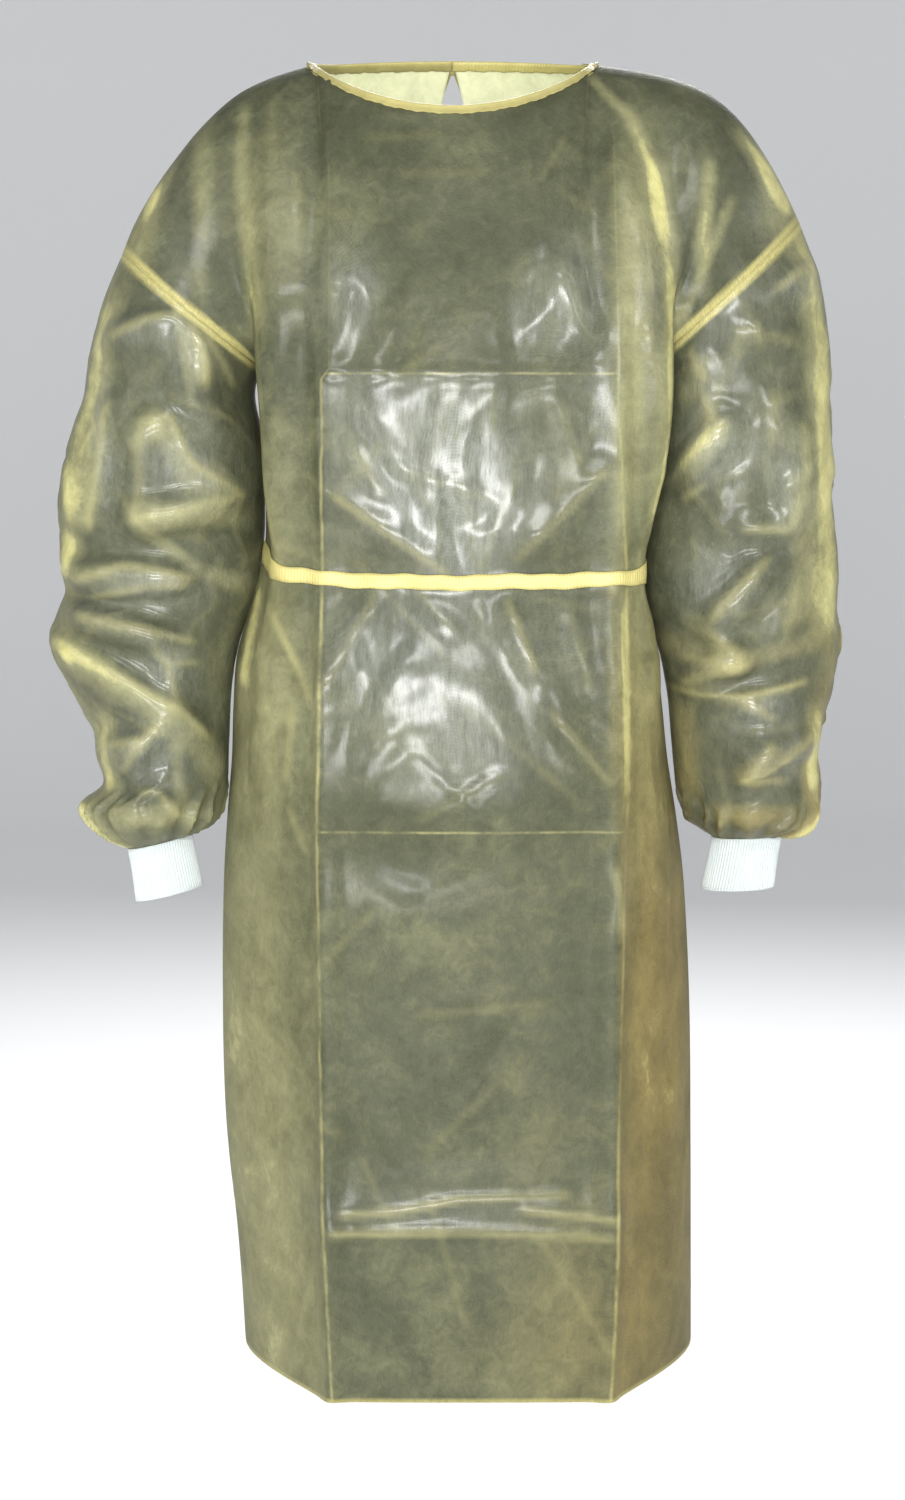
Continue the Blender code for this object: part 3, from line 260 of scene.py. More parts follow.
def yoke(side, facing, across, share):
    """Points from the upper edge (share 0) down to the armpit (share 1): a cubic down each column. The
    last column, at across 1, is the armhole."""
    armhole_depth = ARMHOLE[side][0 if facing < 0 else 1]
    start = top_edge(side, facing, across)
    end = section(side, facing, across, np.full(across.shape, ARMPIT))
    below = section(side, facing, across, np.full(across.shape, ARMPIT - 0.01))
    neck = np.cos(np.clip(across * HALF_COLUMNS / NECK_COLUMN, 0, 1) * math.pi / 2)
    shoulder = SHOULDER_LEAVE + (4 * armhole_depth - SHOULDER_LEAVE) * across**2
    forward = NECK_LEAVE[0] * neck + (1 - neck) * shoulder
    beside_neck = np.exp(-((across - NECK_COLUMN / HALF_COLUMNS) / RIDGE_SPREAD) ** 2)
    leave = stack(0 * across, facing * forward, NECK_LEAVE[1] * neck - RIDGE_FALL * (1 - neck) * beside_neck)
    armhole = ease((across - 0.5) / 0.5)[:, None]
    arrive = SECTION_ARRIVE * unit(below - end) * (1 - armhole)
    arrive = arrive + armhole * stack(0 * across, -facing * 4 * armhole_depth, 0)
    made = hermite(start[None], end[None], leave[None], arrive[None], share[:, None] + 0 * across)
    aside, down = UNDERARM_FROM
    beside = np.sin(math.pi * np.clip((across - aside) / (1 - aside), 0, 1))[None]
    low = np.sin(math.pi * np.clip((share - down) / (1 - down), 0, 1))[:, None]
    return made + (beside * low)[..., None] * np.array([-side * UNDERARM_IN, 0, -UNDERARM_DROP])


def panel(side_columns, facing):
    """A panel's coarse grid: the yoke above the armpit and the body's sections below it."""
    sides = np.array([s for s, _ in side_columns])
    across = np.array([a for _, a in side_columns])
    points = np.zeros((len(YOKE_SHARES) + len(HEIGHTS) - 1, len(across), 3))
    for side in sorted(set(sides)):
        mine = sides == side
        points[: len(YOKE_SHARES), mine] = yoke(side, facing, across[mine], YOKE_SHARES)
        points[len(YOKE_SHARES):, mine] = section(side, facing, across[mine][None], HEIGHTS[1:, None])
    return points


def sheet_normals(points, facing):
    """Unit normals of an open grid, on the side that faces forward (-1) or back (1)."""
    normals = unit(np.cross(np.gradient(points, axis=0), np.gradient(points, axis=1)))
    return normals * np.sign(facing * normals[..., 1:2].mean())


def fold_panel(points, facing, across):
    """A coarse grid moved along its normals by the large folds, less towards its sides, with the points
    beside the armhole drawn towards their neighbours."""
    x, z = points[..., 0], points[..., 2]
    height = np.zeros(x.shape)
    for x0, z0, x1, z1, half, tall, sharp, side in zip(*LARGE_FOLDS.values()):
        run = math.hypot(x1 - x0, z1 - z0)
        ax, az = (x1 - x0) / run, (z1 - z0) / run
        along = ((x - x0) * ax + (z - z0) * az) / run
        t = np.clip(np.abs((x - x0) * az - (z - z0) * ax) / half, 0, 1)
        fade = ease((along + 0.12) / 0.3) * ease((1.12 - along) / 0.3) * (side == facing)
        height += tall * fade * np.where(sharp, (1 - t) ** 1.5, (1 - t**2) ** 2)
    normals = sheet_normals(points, facing)
    rows = np.arange(points.shape[0])[:, None]
    fade = ease(rows / 3) * ease((1 - across) * 6)[None] * ease(1.6 * facing * normals[..., 1])
    points = points + normals * (height * fade)[..., None]
    start, whole, less, end = EVEN_ROWS
    weight = EVEN_SHARE * ease((rows - start) / (whole - start)) * ease((end - rows) / (end - less))
    weight = weight * ease((across - EVEN_ACROSS[0]) / (EVEN_ACROSS[1] - EVEN_ACROSS[0]))[None]
    for _ in range(EVEN_TIMES):
        around = points[:-2, 1:-1] + points[2:, 1:-1] + points[1:-1, :-2] + points[1:-1, 2:]
        points = points.copy()
        points[1:-1, 1:-1] += (around / 4 - points[1:-1, 1:-1]) * weight[1:-1, 1:-1, None]
    return points


def run_of(steps):
    """Distances from the first point on, from the steps between points."""
    return np.concatenate([[0], np.cumsum(steps)])


def refine(grid, rows, columns, corners=()):
    """A fine grid over a coarse one: cubics through its points down the columns and then along the rows,
    evenly spaced. At the columns in corners the top edge keeps its corner, and loses it two rows down.
    It also gives the place of each fine row and column among the coarse ones."""
    down = run_of(np.linalg.norm(np.diff(grid, axis=0), axis=2).mean(1))
    down_at = np.linspace(0, down[-1], rows)
    tall = smooth(down_at, down, grid)
    row_at = np.interp(down_at, down, np.arange(len(down)))
    wide = run_of(np.linalg.norm(np.diff(tall, axis=1), axis=2).mean(0))
    wide_at = np.linspace(0, wide[-1], columns)
    turned = np.moveaxis(tall, 1, 0)
    fine = smooth(wide_at, wide, turned)
    cut = fine.copy()
    bounds = [0, *corners, len(wide) - 1]
    for a, b in zip(bounds[:-1], bounds[1:]):
        inside = (wide_at >= wide[a]) & (wide_at <= wide[b])
        cut[inside] = smooth(wide_at[inside], wide[a : b + 1], turned[a : b + 1])
    keep = (1 - ease(row_at / 2.5))[None, :, None]
    fine = np.moveaxis(fine + (cut - fine) * keep, 0, 1)
    return fine, row_at, np.interp(wide_at, wide, np.arange(len(wide)))


CREASE_COLUMNS = "a0 b0 a1 b1 half height sharp line"


def raised(a, b, creases, around=0.0):
    """How far creases lift the points at a, b, and how much of a thin bright line each point takes from
    them. Across a crease the height is (1 - t) ** 1.3 if it is sharp, with t rounded off near 0, and
    (1 - t * t) ** 2 if it is soft. t is the distance over its half width, and the height fades past both
    ends. around closes a into a ring."""
    lift, line = np.zeros(a.shape), np.zeros(a.shape)
    for a0, b0, a1, b1, half, height, sharp, bright in zip(*creases.values()):
        da, db = a - (a0 + a1) / 2, b - (b0 + b1) / 2
        if around:
            da = (da + around / 2) % around - around / 2
        run = max(math.hypot(a1 - a0, b1 - b0), 1e-6)
        ua, ub = (a1 - a0) / run, (b1 - b0) / run
        beyond = np.abs(da * ua + db * ub) - run / 2
        off = np.abs(da * ub - db * ua)
        t = np.clip(off / half, 0, 1)
        fade = ease((half - beyond) / (2 * half))
        rounded = (np.sqrt(t**2 + 0.04) - 0.2) / (math.sqrt(1.04) - 0.2)
        lift += height * fade * np.where(sharp, (1 - rounded) ** 1.3, (1 - t**2) ** 2)
        if bright:
            line += bright * ease((0.006 - beyond) / 0.012) * ease(1 - off / LINE_HALF)
    return lift, line


LINE_HALF = 0.0062


def in_mm(rows):
    """A table of creases written in millimetres."""
    made = table(CREASE_COLUMNS, rows)
    return {key: values if key in ("sharp", "line") else values / 1000 for key, values in made.items()}


def crumples(seed, count, low, high, run, half, height, lean=0.0, spread=math.pi):
    """Small creases in random places between low and high, each with its own direction, length, half
    width and height. lean is their mean direction from upright and spread how far it varies."""
    dice = np.random.default_rng(seed)
    middle = dice.uniform(low, high, (count, 2))
    angle = lean + dice.uniform(-spread / 2, spread / 2, count)
    length = dice.uniform(*run, count) / 2
    step = np.stack([np.sin(angle) * length, np.cos(angle) * length], axis=1)
    start, end = middle - step, middle + step
    sharp = dice.uniform(0, 1, count) < 0.65
    sign = np.where(dice.uniform(0, 1, count) < 0.3, -1, 1)
    width = dice.uniform(*half, count)
    tall = sign * dice.uniform(*height, count) * (0.5 + 0.5 * width / max(half))
    return table(CREASE_COLUMNS, np.stack([
        start[:, 0], start[:, 1], end[:, 0], end[:, 1], width, tall, sharp, 0.25 * (sharp & (sign > 0)),
    ], axis=1))


# Creases of the front in millimetres: x and z of both ends, half width, height, sharp, bright line.
FRONT_CREASES = in_mm([
    # packing creases down and across
    (-106, -12, -104, -271, 7, 1.4, 1, 0), (-112, -271, -111, -450, 7, 1.6, 1, 0),
    (-113, -450, -116, -658, 7, 1.5, 1, 0), (-116, -658, -111, -995, 7, 1.4, 1, 0),
    (-111, -995, -104, -1150, 7, 1.2, 1, 0), (141, -200, 150, -455, 8, 1.5, 1, 0),
    (150, -455, 150, -633, 7, 1.6, 1, 0), (150, -633, 137, -1150, 7, 1.4, 1, 0),
    (-112, -269, 125, -271, 6, 1.5, 1, 0), (-112, -658, 150, -658, 6, 1.8, 1, 0),
    # the large V above the belt and the wrinkles that run down into it
    (-101, -373, -55, -405, 16, 3.2, 1, 0.45), (-55, -405, -3, -441, 14, 3.0, 1, 0.45),
    (132, -349, 95, -388, 16, 3.2, 1, 0.3), (95, -388, 54, -427, 14, 3.0, 1, 0.3),
    (2, -275, -19, -351, 16, 2.2, 0, 0.1), (-19, -351, -11, -427, 14, 2.2, 1, 0.1),
    (15, -292, 8, -351, 12, 1.2, 0, 0.0), (8, -351, 20, -438, 12, 1.6, 1, 0.1),
    (57, -351, 40, -393, 14, 2.4, 1, 0.2), (40, -393, 23, -438, 12, 2.2, 1, 0.2),
    (40, -275, 15, -317, 14, 1.4, 0, 0.0), (-70, -300, -40, -350, 14, 1.8, 0, 0.0),
    (-85, -330, -60, -372, 9, 1.4, 1, 0.2), (90, -290, 105, -345, 11, 2.0, 1, 0.1),
    # chest
    (-136, -117, -129, -234, 12, 2.4, 0, 0.1), (-27, -192, -70, -267, 15, 3.0, 0, 0.0),
    (90, -175, 65, -242, 14, 3.4, 0, 0.0), (90, -175, 116, -242, 15, 3.8, 0, 0.1),
    (-84, -205, -100, -262, 10, 2.0, 1, 0.0), (30, -215, 40, -262, 14, 1.6, 0, 0.0),
    (165, -150, 168, -245, 11, 3.0, 0, 0.2), (-60, -50, -30, -56, 7, 0.7, 1, 0.1),
    # below the belt
    (-63, -455, -113, -542, 15, 3.6, 1, 0.3), (-30, -455, 2, -490, 12, 2.8, 1, 0.2),
    (46, -462, 71, -523, 14, 4.2, 1, 0.4), (20, -458, 28, -500, 9, 2.0, 0, 0.1),
    (84, -556, 134, -616, 13, 3.0, 1, 0.3), (-25, -500, -85, -620, 22, 2.4, 0, 0.0),
    (10, -520, 60, -640, 24, 2.2, 0, 0.0), (100, -470, 118, -540, 12, 2.2, 1, 0.2),
    (-80, -600, -20, -560, 16, 1.6, 0, 0.0),
    # flank on the wearer's right
    (-180, -455, -161, -485, 10, 2.4, 1, 0.5), (-163, -463, -131, -523, 11, 2.6, 1, 0.7),
    (-131, -523, -120, -550, 9, 2.0, 1, 0.5), (-137, -556, -143, -619, 9, 1.8, 1, 0.4),
    (-143, -638, -124, -680, 8, 1.4, 1, 0.3), (-150, -300, -155, -420, 14, 2.6, 0, 0.1),
    (-168, -330, -150, -440, 9, 1.8, 1, 0.4),
    # skirt
    (-97, -987, -45, -982, 6, 1.5, 1, 0.6), (-45, -982, 6, -972, 6, 1.6, 1, 0.7),
    (6, -972, 101, -969, 6, 1.4, 1, 0.5), (-105, -1003, -2, -1000, 9, 2.2, 1, 0.7),
    (-2, -1000, 140, -1006, 8, 1.8, 1, 0.5), (58, -981, 144, -991, 7, 1.4, 1, 0.6),
    (140, -690, 146, -745, 6, 1.2, 1, 0.5), (-60, -700, -20, -715, 12, 1.0, 0, 0.0),
])
# Patches of the front that stand off what is under them and so look yellower: x, z, reaches, amount.
FRONT_PATCHES = table("x z rx rz amount", [
    (-0.150, -0.150, 0.030, 0.110, 0.35), (0.150, -0.200, 0.016, 0.140, 0.55),
    (0.172, -0.130, 0.020, 0.060, 0.45), (-0.150, -0.380, 0.030, 0.080, 0.30),
    (0.158, -0.540, 0.020, 0.090, 0.45), (-0.150, -0.540, 0.035, 0.080, 0.50),
    (0.180, -0.800, 0.030, 0.260, 0.45), (-0.180, -0.900, 0.045, 0.300, 0.55),
    (-0.150, -1.080, 0.040, 0.100, 0.25), (0.110, -1.080, 0.050, 0.100, 0.28),
    (0.020, -1.110, 0.120, 0.070, 0.16), (0.138, -0.520, 0.006, 0.140, 0.25),
    (-0.040, -0.020, 0.100, 0.020, 0.12), (-0.278, -0.130, 0.024, 0.070, 0.85),
    (-0.215, -0.120, 0.010, 0.090, 0.45), (0.285, -0.110, 0.024, 0.060, 0.75),
    (0.215, -0.150, 0.010, 0.080, 0.35), (0.155, -0.300, 0.020, 0.120, 0.35),
])


# Where the film on the front is smooth and so glossy, and where its colour takes the pale silver painted
# sheen: between the packing creases, and elsewhere.
FRONT_GLOSS_AND_SHEEN = table("x z rx rz amount", [
    (-0.020, -0.335, 0.066, 0.075, 0.75), (0.010, -0.390, 0.056, 0.055, 0.75),
    (-0.080, -0.300, 0.030, 0.025, 0.15), (0.095, -0.330, 0.030, 0.050, 0.08),
    (-0.015, -0.520, 0.090, 0.075, 0.62), (-0.085, -0.500, 0.030, 0.040, 0.30),
    (0.030, -0.600, 0.070, 0.040, 0.35), (0.100, -0.500, 0.030, 0.060, 0.20),
    (0.110, -0.600, 0.060, 0.060, -0.35), (-0.060, -0.430, 0.050, 0.016, -0.30),
    (0.090, -0.430, 0.050, 0.020, -0.30), (-0.030, -0.645, 0.140, 0.026, -0.38),
])
# More places where the front's film is glossy and its colour takes the painted sheen.
FRONT_SHINE = table("x z rx rz amount", [
    (-0.085, -0.205, 0.026, 0.050, 0.80), (0.100, -0.200, 0.030, 0.055, 0.85),
    (0.060, -0.225, 0.020, 0.035, 0.60), (-0.030, -0.052, 0.035, 0.012, 0.25),
    (-0.140, -0.150, 0.020, 0.090, 0.35), (0.170, -0.190, 0.018, 0.070, 0.50),
    (0.130, -0.300, 0.016, 0.080, 0.35), (-0.060, -0.705, 0.060, 0.018, 0.28),
    (-0.020, -0.985, 0.120, 0.024, 0.45), (0.145, -0.710, 0.010, 0.040, 0.35),
    (-0.120, -0.500, 0.010, 0.120, 0.35), (0.200, -0.130, 0.030, 0.080, 0.30),
    (-0.230, -0.160, 0.040, 0.080, 0.40), (0.270, -0.120, 0.030, 0.060, 0.60),
])


# Folds of the front that lie double or stand clear, and so are yellow strips: in millimetres, x and z of
# both ends, half width, and the amount in thousandths.
FRONT_STRIPS = in_mm([
    (118, -14, 151, -51, 8, 500, 0, 0), (151, -51, 172, -98, 11, 560, 0, 0),
    (172, -98, 184, -159, 14, 580, 0, 0), (184, -159, 186, -220, 16, 560, 0, 0),
    (186, -220, 184, -300, 16, 500, 0, 0), (184, -300, 176, -400, 14, 460, 0, 0),
    (-179, -40, -181, -98, 10, 420, 0, 0), (-181, -98, -174, -164, 12, 480, 0, 0),
    (-174, -164, -167, -230, 12, 420, 0, 0), (-168, -280, -172, -400, 8, 500, 0, 0),
    (-172, -455, -186, -540, 9, 450, 0, 0), (-240, -60, -262, -130, 14, 500, 0, 0),
    (222, -90, 212, -170, 10, 500, 0, 0), (246, -60, 292, -128, 12, 600, 0, 0),
    (240, -120, 196, -225, 8, 450, 0, 0), (138, -440, 137, -455, 9, 500, 0, 0),
    (141, -300, 146, -440, 7, 240, 0, 0), (147, -470, 148, -630, 7, 240, 0, 0),
    (-60, -330, -98, -372, 10, 200, 0, 0),
])


def patches(x, z, spots):
    """The sum of bell-shaped patches."""
    total = np.zeros(x.shape)
    for px, pz, rx, rz, amount in zip(*spots.values()):
        total += amount * np.exp(-((x - px) / rx) ** 2 - ((z - pz) / rz) ** 2)
    return total


def packing(x, z):
    """How far outside the nearer of the two packing creases that run down a panel each point is, and how
    bright the line along that crease is there."""
    found = [
        [np.interp(-z, -PACKED[side]["z"], PACKED[side][key]) for side in (-1, 1)] for key in ("x", "bright")
    ]
    places, bright = [np.where(x < 0, *pair) for pair in found]
    return np.abs(x) - places, bright


# Where those creases run, as distances from the middle, and how bright their lines are.
PACKED = {
    -1: table("z x bright", [
        (-0.010, 0.106, 0.02), (-0.265, 0.104, 0.08), (-0.275, 0.111, 0.30), (-0.450, 0.112, 0.45),
        (-0.560, 0.114, 0.80), (-0.658, 0.116, 0.40), (-0.750, 0.115, 0.30), (-0.995, 0.111, 0.60),
        (-LENGTH, 0.104, 0.30),
    ]),
    1: table("z x bright", [
        (-0.010, 0.136, 0.05), (-0.300, 0.141, 0.20), (-0.430, 0.149, 0.45), (-0.455, 0.150, 0.70),
        (-0.633, 0.150, 0.70), (-0.660, 0.149, 0.35), (-0.900, 0.143, 0.25), (-1.020, 0.142, 0.70),
        (-LENGTH, 0.137, 0.55),
    ]),
}


def cloth_mesh(name, points, seam=0.0, thin=0.0, line=0.0, gloss_and_sheen=0.0, packed=(1.0, 0.0), closed=False):
    """A mesh from a grid of points, closed into a tube along its rows if asked. Its UV map holds the
    developed cloth in metres: the distance along the row from its first point and down the column.
    The attributes say how near a seam, how far from what is under it, how near the ridge of a crease and
    how glossy each point is, which also sets how much painted sheen its colour takes, how far from a
    packing crease it lies and how bright that is. On tape the seam attribute holds how pale the tape is,
    with painted shade towards the edges of the belt and the free ends and in the grooves of the knots."""
    rows, columns = points.shape[:2]
    order = np.arange(rows * columns).reshape(rows, columns)
    right = np.roll(order, -1, 1) if closed else order[:, 1:]
    left = order if closed else order[:, :-1]
    quads = np.stack([left[:-1], left[1:], right[1:], right[:-1]], axis=-1).reshape(-1, 4)
    mesh = bpy.data.meshes.new(name)
    mesh.vertices.add(rows * columns)
    mesh.vertices.foreach_set("co", points.reshape(-1).astype(np.float32))
    mesh.loops.add(quads.size)
    mesh.loops.foreach_set("vertex_index", quads.reshape(-1).astype(np.int32))
    mesh.polygons.add(len(quads))
    mesh.polygons.foreach_set("loop_start", (np.arange(len(quads)) * 4).astype(np.int32))
    mesh.update(calc_edges=True)
    mesh.validate()
    ring = np.concatenate([points, points[:, :1]], axis=1) if closed else points
    s = np.cumsum(np.linalg.norm(np.diff(ring, axis=1), axis=2), axis=1)
    s = np.concatenate([np.zeros((rows, 1)), s], axis=1)
    down = np.cumsum(np.linalg.norm(np.diff(points, axis=0), axis=2), axis=0)
    down = np.concatenate([np.zeros((1, columns)), down])
    down = np.concatenate([down, down[:, :1]], axis=1) if closed else down
    grid = np.stack([s, down], axis=-1)
    corners = np.stack([grid[:-1, :-1], grid[1:, :-1], grid[1:, 1:], grid[:-1, 1:]], axis=2)
    mesh.uv_layers.new(name="cloth").data.foreach_set("uv", corners.reshape(-1).astype(np.float32))
    layers = {"seam": seam, "thin": thin, "line": line, "gloss_and_sheen": gloss_and_sheen}
    layers["packed"], layers["bright"] = packed
    for word, values in layers.items():
        layer = mesh.attributes.new(word, "FLOAT", "POINT")
        values = np.broadcast_to(values, (rows, columns))
        layer.data.foreach_set("value", np.ascontiguousarray(values, np.float32).reshape(-1))
    mesh.shade_smooth()
    made = bpy.data.objects.new(name, mesh)
    bpy.context.scene.collection.objects.link(made)
    return made


def cloth_piece(made, thick, outwards, material, replaced, lining=None):
    """Finishes a piece: turns its faces to the side that outwards points to, gives it its thickness on the
    inside, its material, one more for its inside if there is one, and its place in the model."""
    mesh = made.data
    first = mesh.polygons[len(mesh.polygons) // 2]
    if np.dot(first.normal, outwards(np.array(first.center))) < 0:
        mesh.flip_normals()
    shell = made.modifiers.new("thickness", "SOLIDIFY")
    shell.thickness = thick
    shell.offset = -1
    mesh.materials.append(material)
    if lining:
        mesh.materials.append(lining)
        shell.material_offset = 1
    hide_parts(*replaced)
    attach(made, "root")


class Wire:
    """One output of a material's nodes. Arithmetic on it adds Math nodes."""

    def __init__(self, tree, socket=None):
        self.tree = tree
        self.socket = socket

    def node(self, kind, settings=None, inputs=None, output=0):
        """Adds a node, sets its settings, then gives its sockets values or links."""
        made = self.tree.nodes.new("ShaderNode" + kind)
        for name, value in (settings or {}).items():
            setattr(made, name, value)
        for name, value in (inputs or {}).items():
            if isinstance(value, Wire):
                self.tree.links.new(value.socket, made.inputs[name])
            else:
                made.inputs[name].default_value = value
        return Wire(self.tree, made.outputs[output])

    def maths(self, operation, first, second=0.0, clamp=False):
        """A Math node on two values, held between 0 and 1 if asked."""
        settings = {"operation": operation, "use_clamp": clamp}
        return self.node("Math", settings, {0: first, 1: second})

    def __add__(self, other):
        return self.maths("ADD", self, other)

    def __sub__(self, other):
        return self.maths("SUBTRACT", self, other)

    def __rsub__(self, other):
        return self.maths("SUBTRACT", other, self)

    def __mul__(self, other):
        return self.maths("MULTIPLY", self, other)

    def __pow__(self, other):
        return self.maths("POWER", self, other)

    __radd__ = __add__
    __rmul__ = __mul__

    def clamped(self):
        """This value held between 0 and 1."""
        return self.maths("ADD", self, 0.0, True)

    def mix(self, first, second):
        """A colour between two, with this value as the share of the second."""
        settings = {"data_type": "RGBA"}
        return self.node("Mix", settings, {0: self, 6: first, 7: second}, 2)

    def stretch(self, low, high, to_low=0.0, to_high=1.0):
        """This value's range from low to high, stretched to another and clamped."""
        return self.node("MapRange", None, {0: self, 1: low, 2: high, 3: to_low, 4: to_high})

    def parts(self):
        """The three numbers of a vector."""
        split = self.tree.nodes.new("ShaderNodeSeparateXYZ")
        self.tree.links.new(self.socket, split.inputs[0])
        return [Wire(self.tree, output) for output in split.outputs]

    def attribute(self, word):
        """The number that the mesh holds at each point under that word."""
        return self.node("Attribute", {"attribute_name": word}, None, 2)

    def noise(self, at, scale, detail, rough, distort=0.0):
        """Cloudy noise from 0 to 1 at a place."""
        inputs = {"Vector": at, "Scale": scale, "Detail": detail, "Roughness": rough, "Distortion": distort}
        return self.node("TexNoise", None, inputs)


def blank(name):
    """A new material, its Principled shader and a first wire to build on."""
    made = bpy.data.materials.new(name)
    made.use_nodes = True
    tree = made.node_tree
    return made, tree.nodes["Principled BSDF"], Wire(tree)


def plug(shader, name, value):
    """Sets a socket of the shader, or links a wire to it."""
    if isinstance(value, Wire):
        value.tree.links.new(value.socket, shader.inputs[name])
    else:
        shader.inputs[name].default_value = value


def emboss(shader, height, strength=1.0):
    """Gives the shader a relief whose height is a wire in metres."""
    inputs = {"Strength": strength, "Distance": 1.0, "Height": height}
    plug(shader, "Normal", height.node("Bump", None, inputs))


# Colours of the cloth, each in its dark and its pale fibres: where it lies against what is under it,
# where it stands free above and below, and where it is loose; along a seam, where two layers lie
# together, along the ridge of a crease; and the pale silver painted sheen that stands in for the lamps'
# reflections where the film is glossy.
OLIVE = (0.026, 0.029, 0.012, 1), (0.088, 0.092, 0.050, 1)
FREE = (0.165, 0.160, 0.070, 1), (0.300, 0.295, 0.150, 1)
TAN = (0.150, 0.110, 0.026, 1), (0.285, 0.220, 0.070, 1)
YELLOW = (0.360, 0.330, 0.110, 1), (0.560, 0.530, 0.240, 1)
SEAM_YELLOW = (0.460, 0.410, 0.150, 1)
LINE_YELLOW = (0.400, 0.370, 0.160, 1)
PAINTED_SHEEN = (0.390, 0.415, 0.380, 1)
PAINTED_SHEEN_SHARE = 0.50
COAT_ROUGH = 0.20
# Clouds and blots of fibres: patches a metre, levels of detail, roughness and distortion.
CLOUDS = (15.0, 5.0, 0.62, 0.4)
BLOTS = (66.0, 6.0, 0.72, 0.7)
# The distance between bonded dots, and the heights and half width of the packing creases that run across.
DOT_PITCH = 0.0024
CREASES_ACROSS = (-0.270, -0.658)
ACROSS_HALF = 0.0016


def coated_cloth(name):
    """Non-woven cloth with a film: cloudy short fibres in the colour, small crinkles and rows of bonded
    dots in the relief, and a clear coat for the film. Where the film is glossy the colour also turns pale
    silver, a painted sheen that stands in for the lamps' reflections."""
    made, shader, wire = blank(name)
    place = wire.node("TexCoord", None, None, "Object")
    sheet = wire.node("UVMap", {"uv_map": "cloth"})
    words = ("seam", "thin", "line", "gloss_and_sheen", "packed", "bright")
    seam, thin, line, gloss_and_sheen, packed, bright = [wire.attribute(word) for word in words]
    cloud, blot = wire.noise(place, *CLOUDS), wire.noise(place, *BLOTS)
    one_way = wire.node("Mapping", None, {0: sheet, 2: (0, 0, 0.6), 3: (900, 120, 1)})
    other_way = wire.node("Mapping", None, {0: sheet, 2: (0, 0, -0.9), 3: (150, 800, 1)})
    fibres = wire.noise(one_way, 1.0, 3.0, 0.6) + wire.noise(other_way, 1.0, 3.0, 0.6)
    fibre = fibres.stretch(0.75, 1.25)
    pale = (cloud.stretch(0.36, 0.66) * 0.40 + blot.stretch(0.34, 0.68) * 0.36 + fibre * 0.24).clamped()
    free = (thin + (cloud - 0.5) * 0.40 + (blot - 0.5) * 0.25).clamped()
    parts = place.parts()
    low_left = parts[0].stretch(-0.04, 0.14) * parts[2].stretch(-0.40, -0.75)
    stands = low_left.mix(pale.mix(*FREE), pale.mix(*TAN))
    ground = free.stretch(0.70, 1.0).mix(free.mix(pale.mix(*OLIVE), stands), pale.mix(*YELLOW))
    # the bonded dots, in slanting rows, and the streaks of the film
    across, along = sheet.parts()[:2]
    lattice = 2 * math.pi / DOT_PITCH
    dots = wire.maths("SINE", (across + along) * lattice) * wire.maths("SINE", (across - along) * lattice)
    drawn = wire.node("Mapping", None, {0: place, 2: (0, 0.30, 0), 3: (190, 60, 46)})
    streak = wire.noise(drawn, 1.0, 4.0, 0.65, 0.8)
    film = (gloss_and_sheen * streak.stretch(0.34, 0.60, 0.66, 1.0) * (0.66 + dots * 0.34)).clamped()
    # painted sheen: where the film is glossy the colour turns pale silver, standing in for the lamps'
    # reflections
    ground = (film * film * PAINTED_SHEEN_SHARE).mix(ground, PAINTED_SHEEN)
    # thin bright lines along the packing creases, with worn gaps
    wander = (cloud - 0.5) * 0.005
    worn = wire.noise(place, 22.0, 4.0, 0.7).stretch(0.38, 0.60, 0.15, 1.0)
    wide = 0.0012 + bright * 0.0022
    down = (1.0 - wire.maths("DIVIDE", wire.maths("ABSOLUTE", packed + wander), wide)).clamped() * bright
    inside = (0.0 - packed * 200.0).clamped()
    high, low = [wire.maths("ABSOLUTE", parts[2] - level + wander * 0.4) for level in CREASES_ACROSS]
    over = (1.0 - wire.maths("MINIMUM", high, low) * (1 / ACROSS_HALF)).clamped() * inside * 0.45
    lines = ((down + over) * worn + line * 0.45).clamped()
    colour = (seam * (0.45 + 0.35 * fibre)).clamped().mix(lines.mix(ground, LINE_YELLOW), SEAM_YELLOW)
    plug(shader, "Base Color", colour)
    plug(shader, "Roughness", (0.62 - 0.20 * gloss_and_sheen + (blot - 0.5) * 0.20).clamped())
    plug(shader, "Coat Weight", film)
    plug(shader, "Coat Roughness", COAT_ROUGH)
    plug(shader, "Specular IOR Level", 0.25)
    # relief, in metres: crinkles, fine creases and the bonded dots
    crinkle = wire.noise(place, 34.0, 3.0, 0.55, 1.0)
    ridge = 1.0 - wire.maths("ABSOLUTE", crinkle - 0.5) * 2.0
    small = wire.noise(place, 210.0, 3.0, 0.6, 0.4)
    relief = ridge ** 3.0 * 0.0007 + wire.maths("ABSOLUTE", streak - 0.5) * -0.0014
    height = relief * (0.25 + 0.60 * gloss_and_sheen) + small * 0.00060 + dots * 0.00010
    emboss(shader, height)
    return made


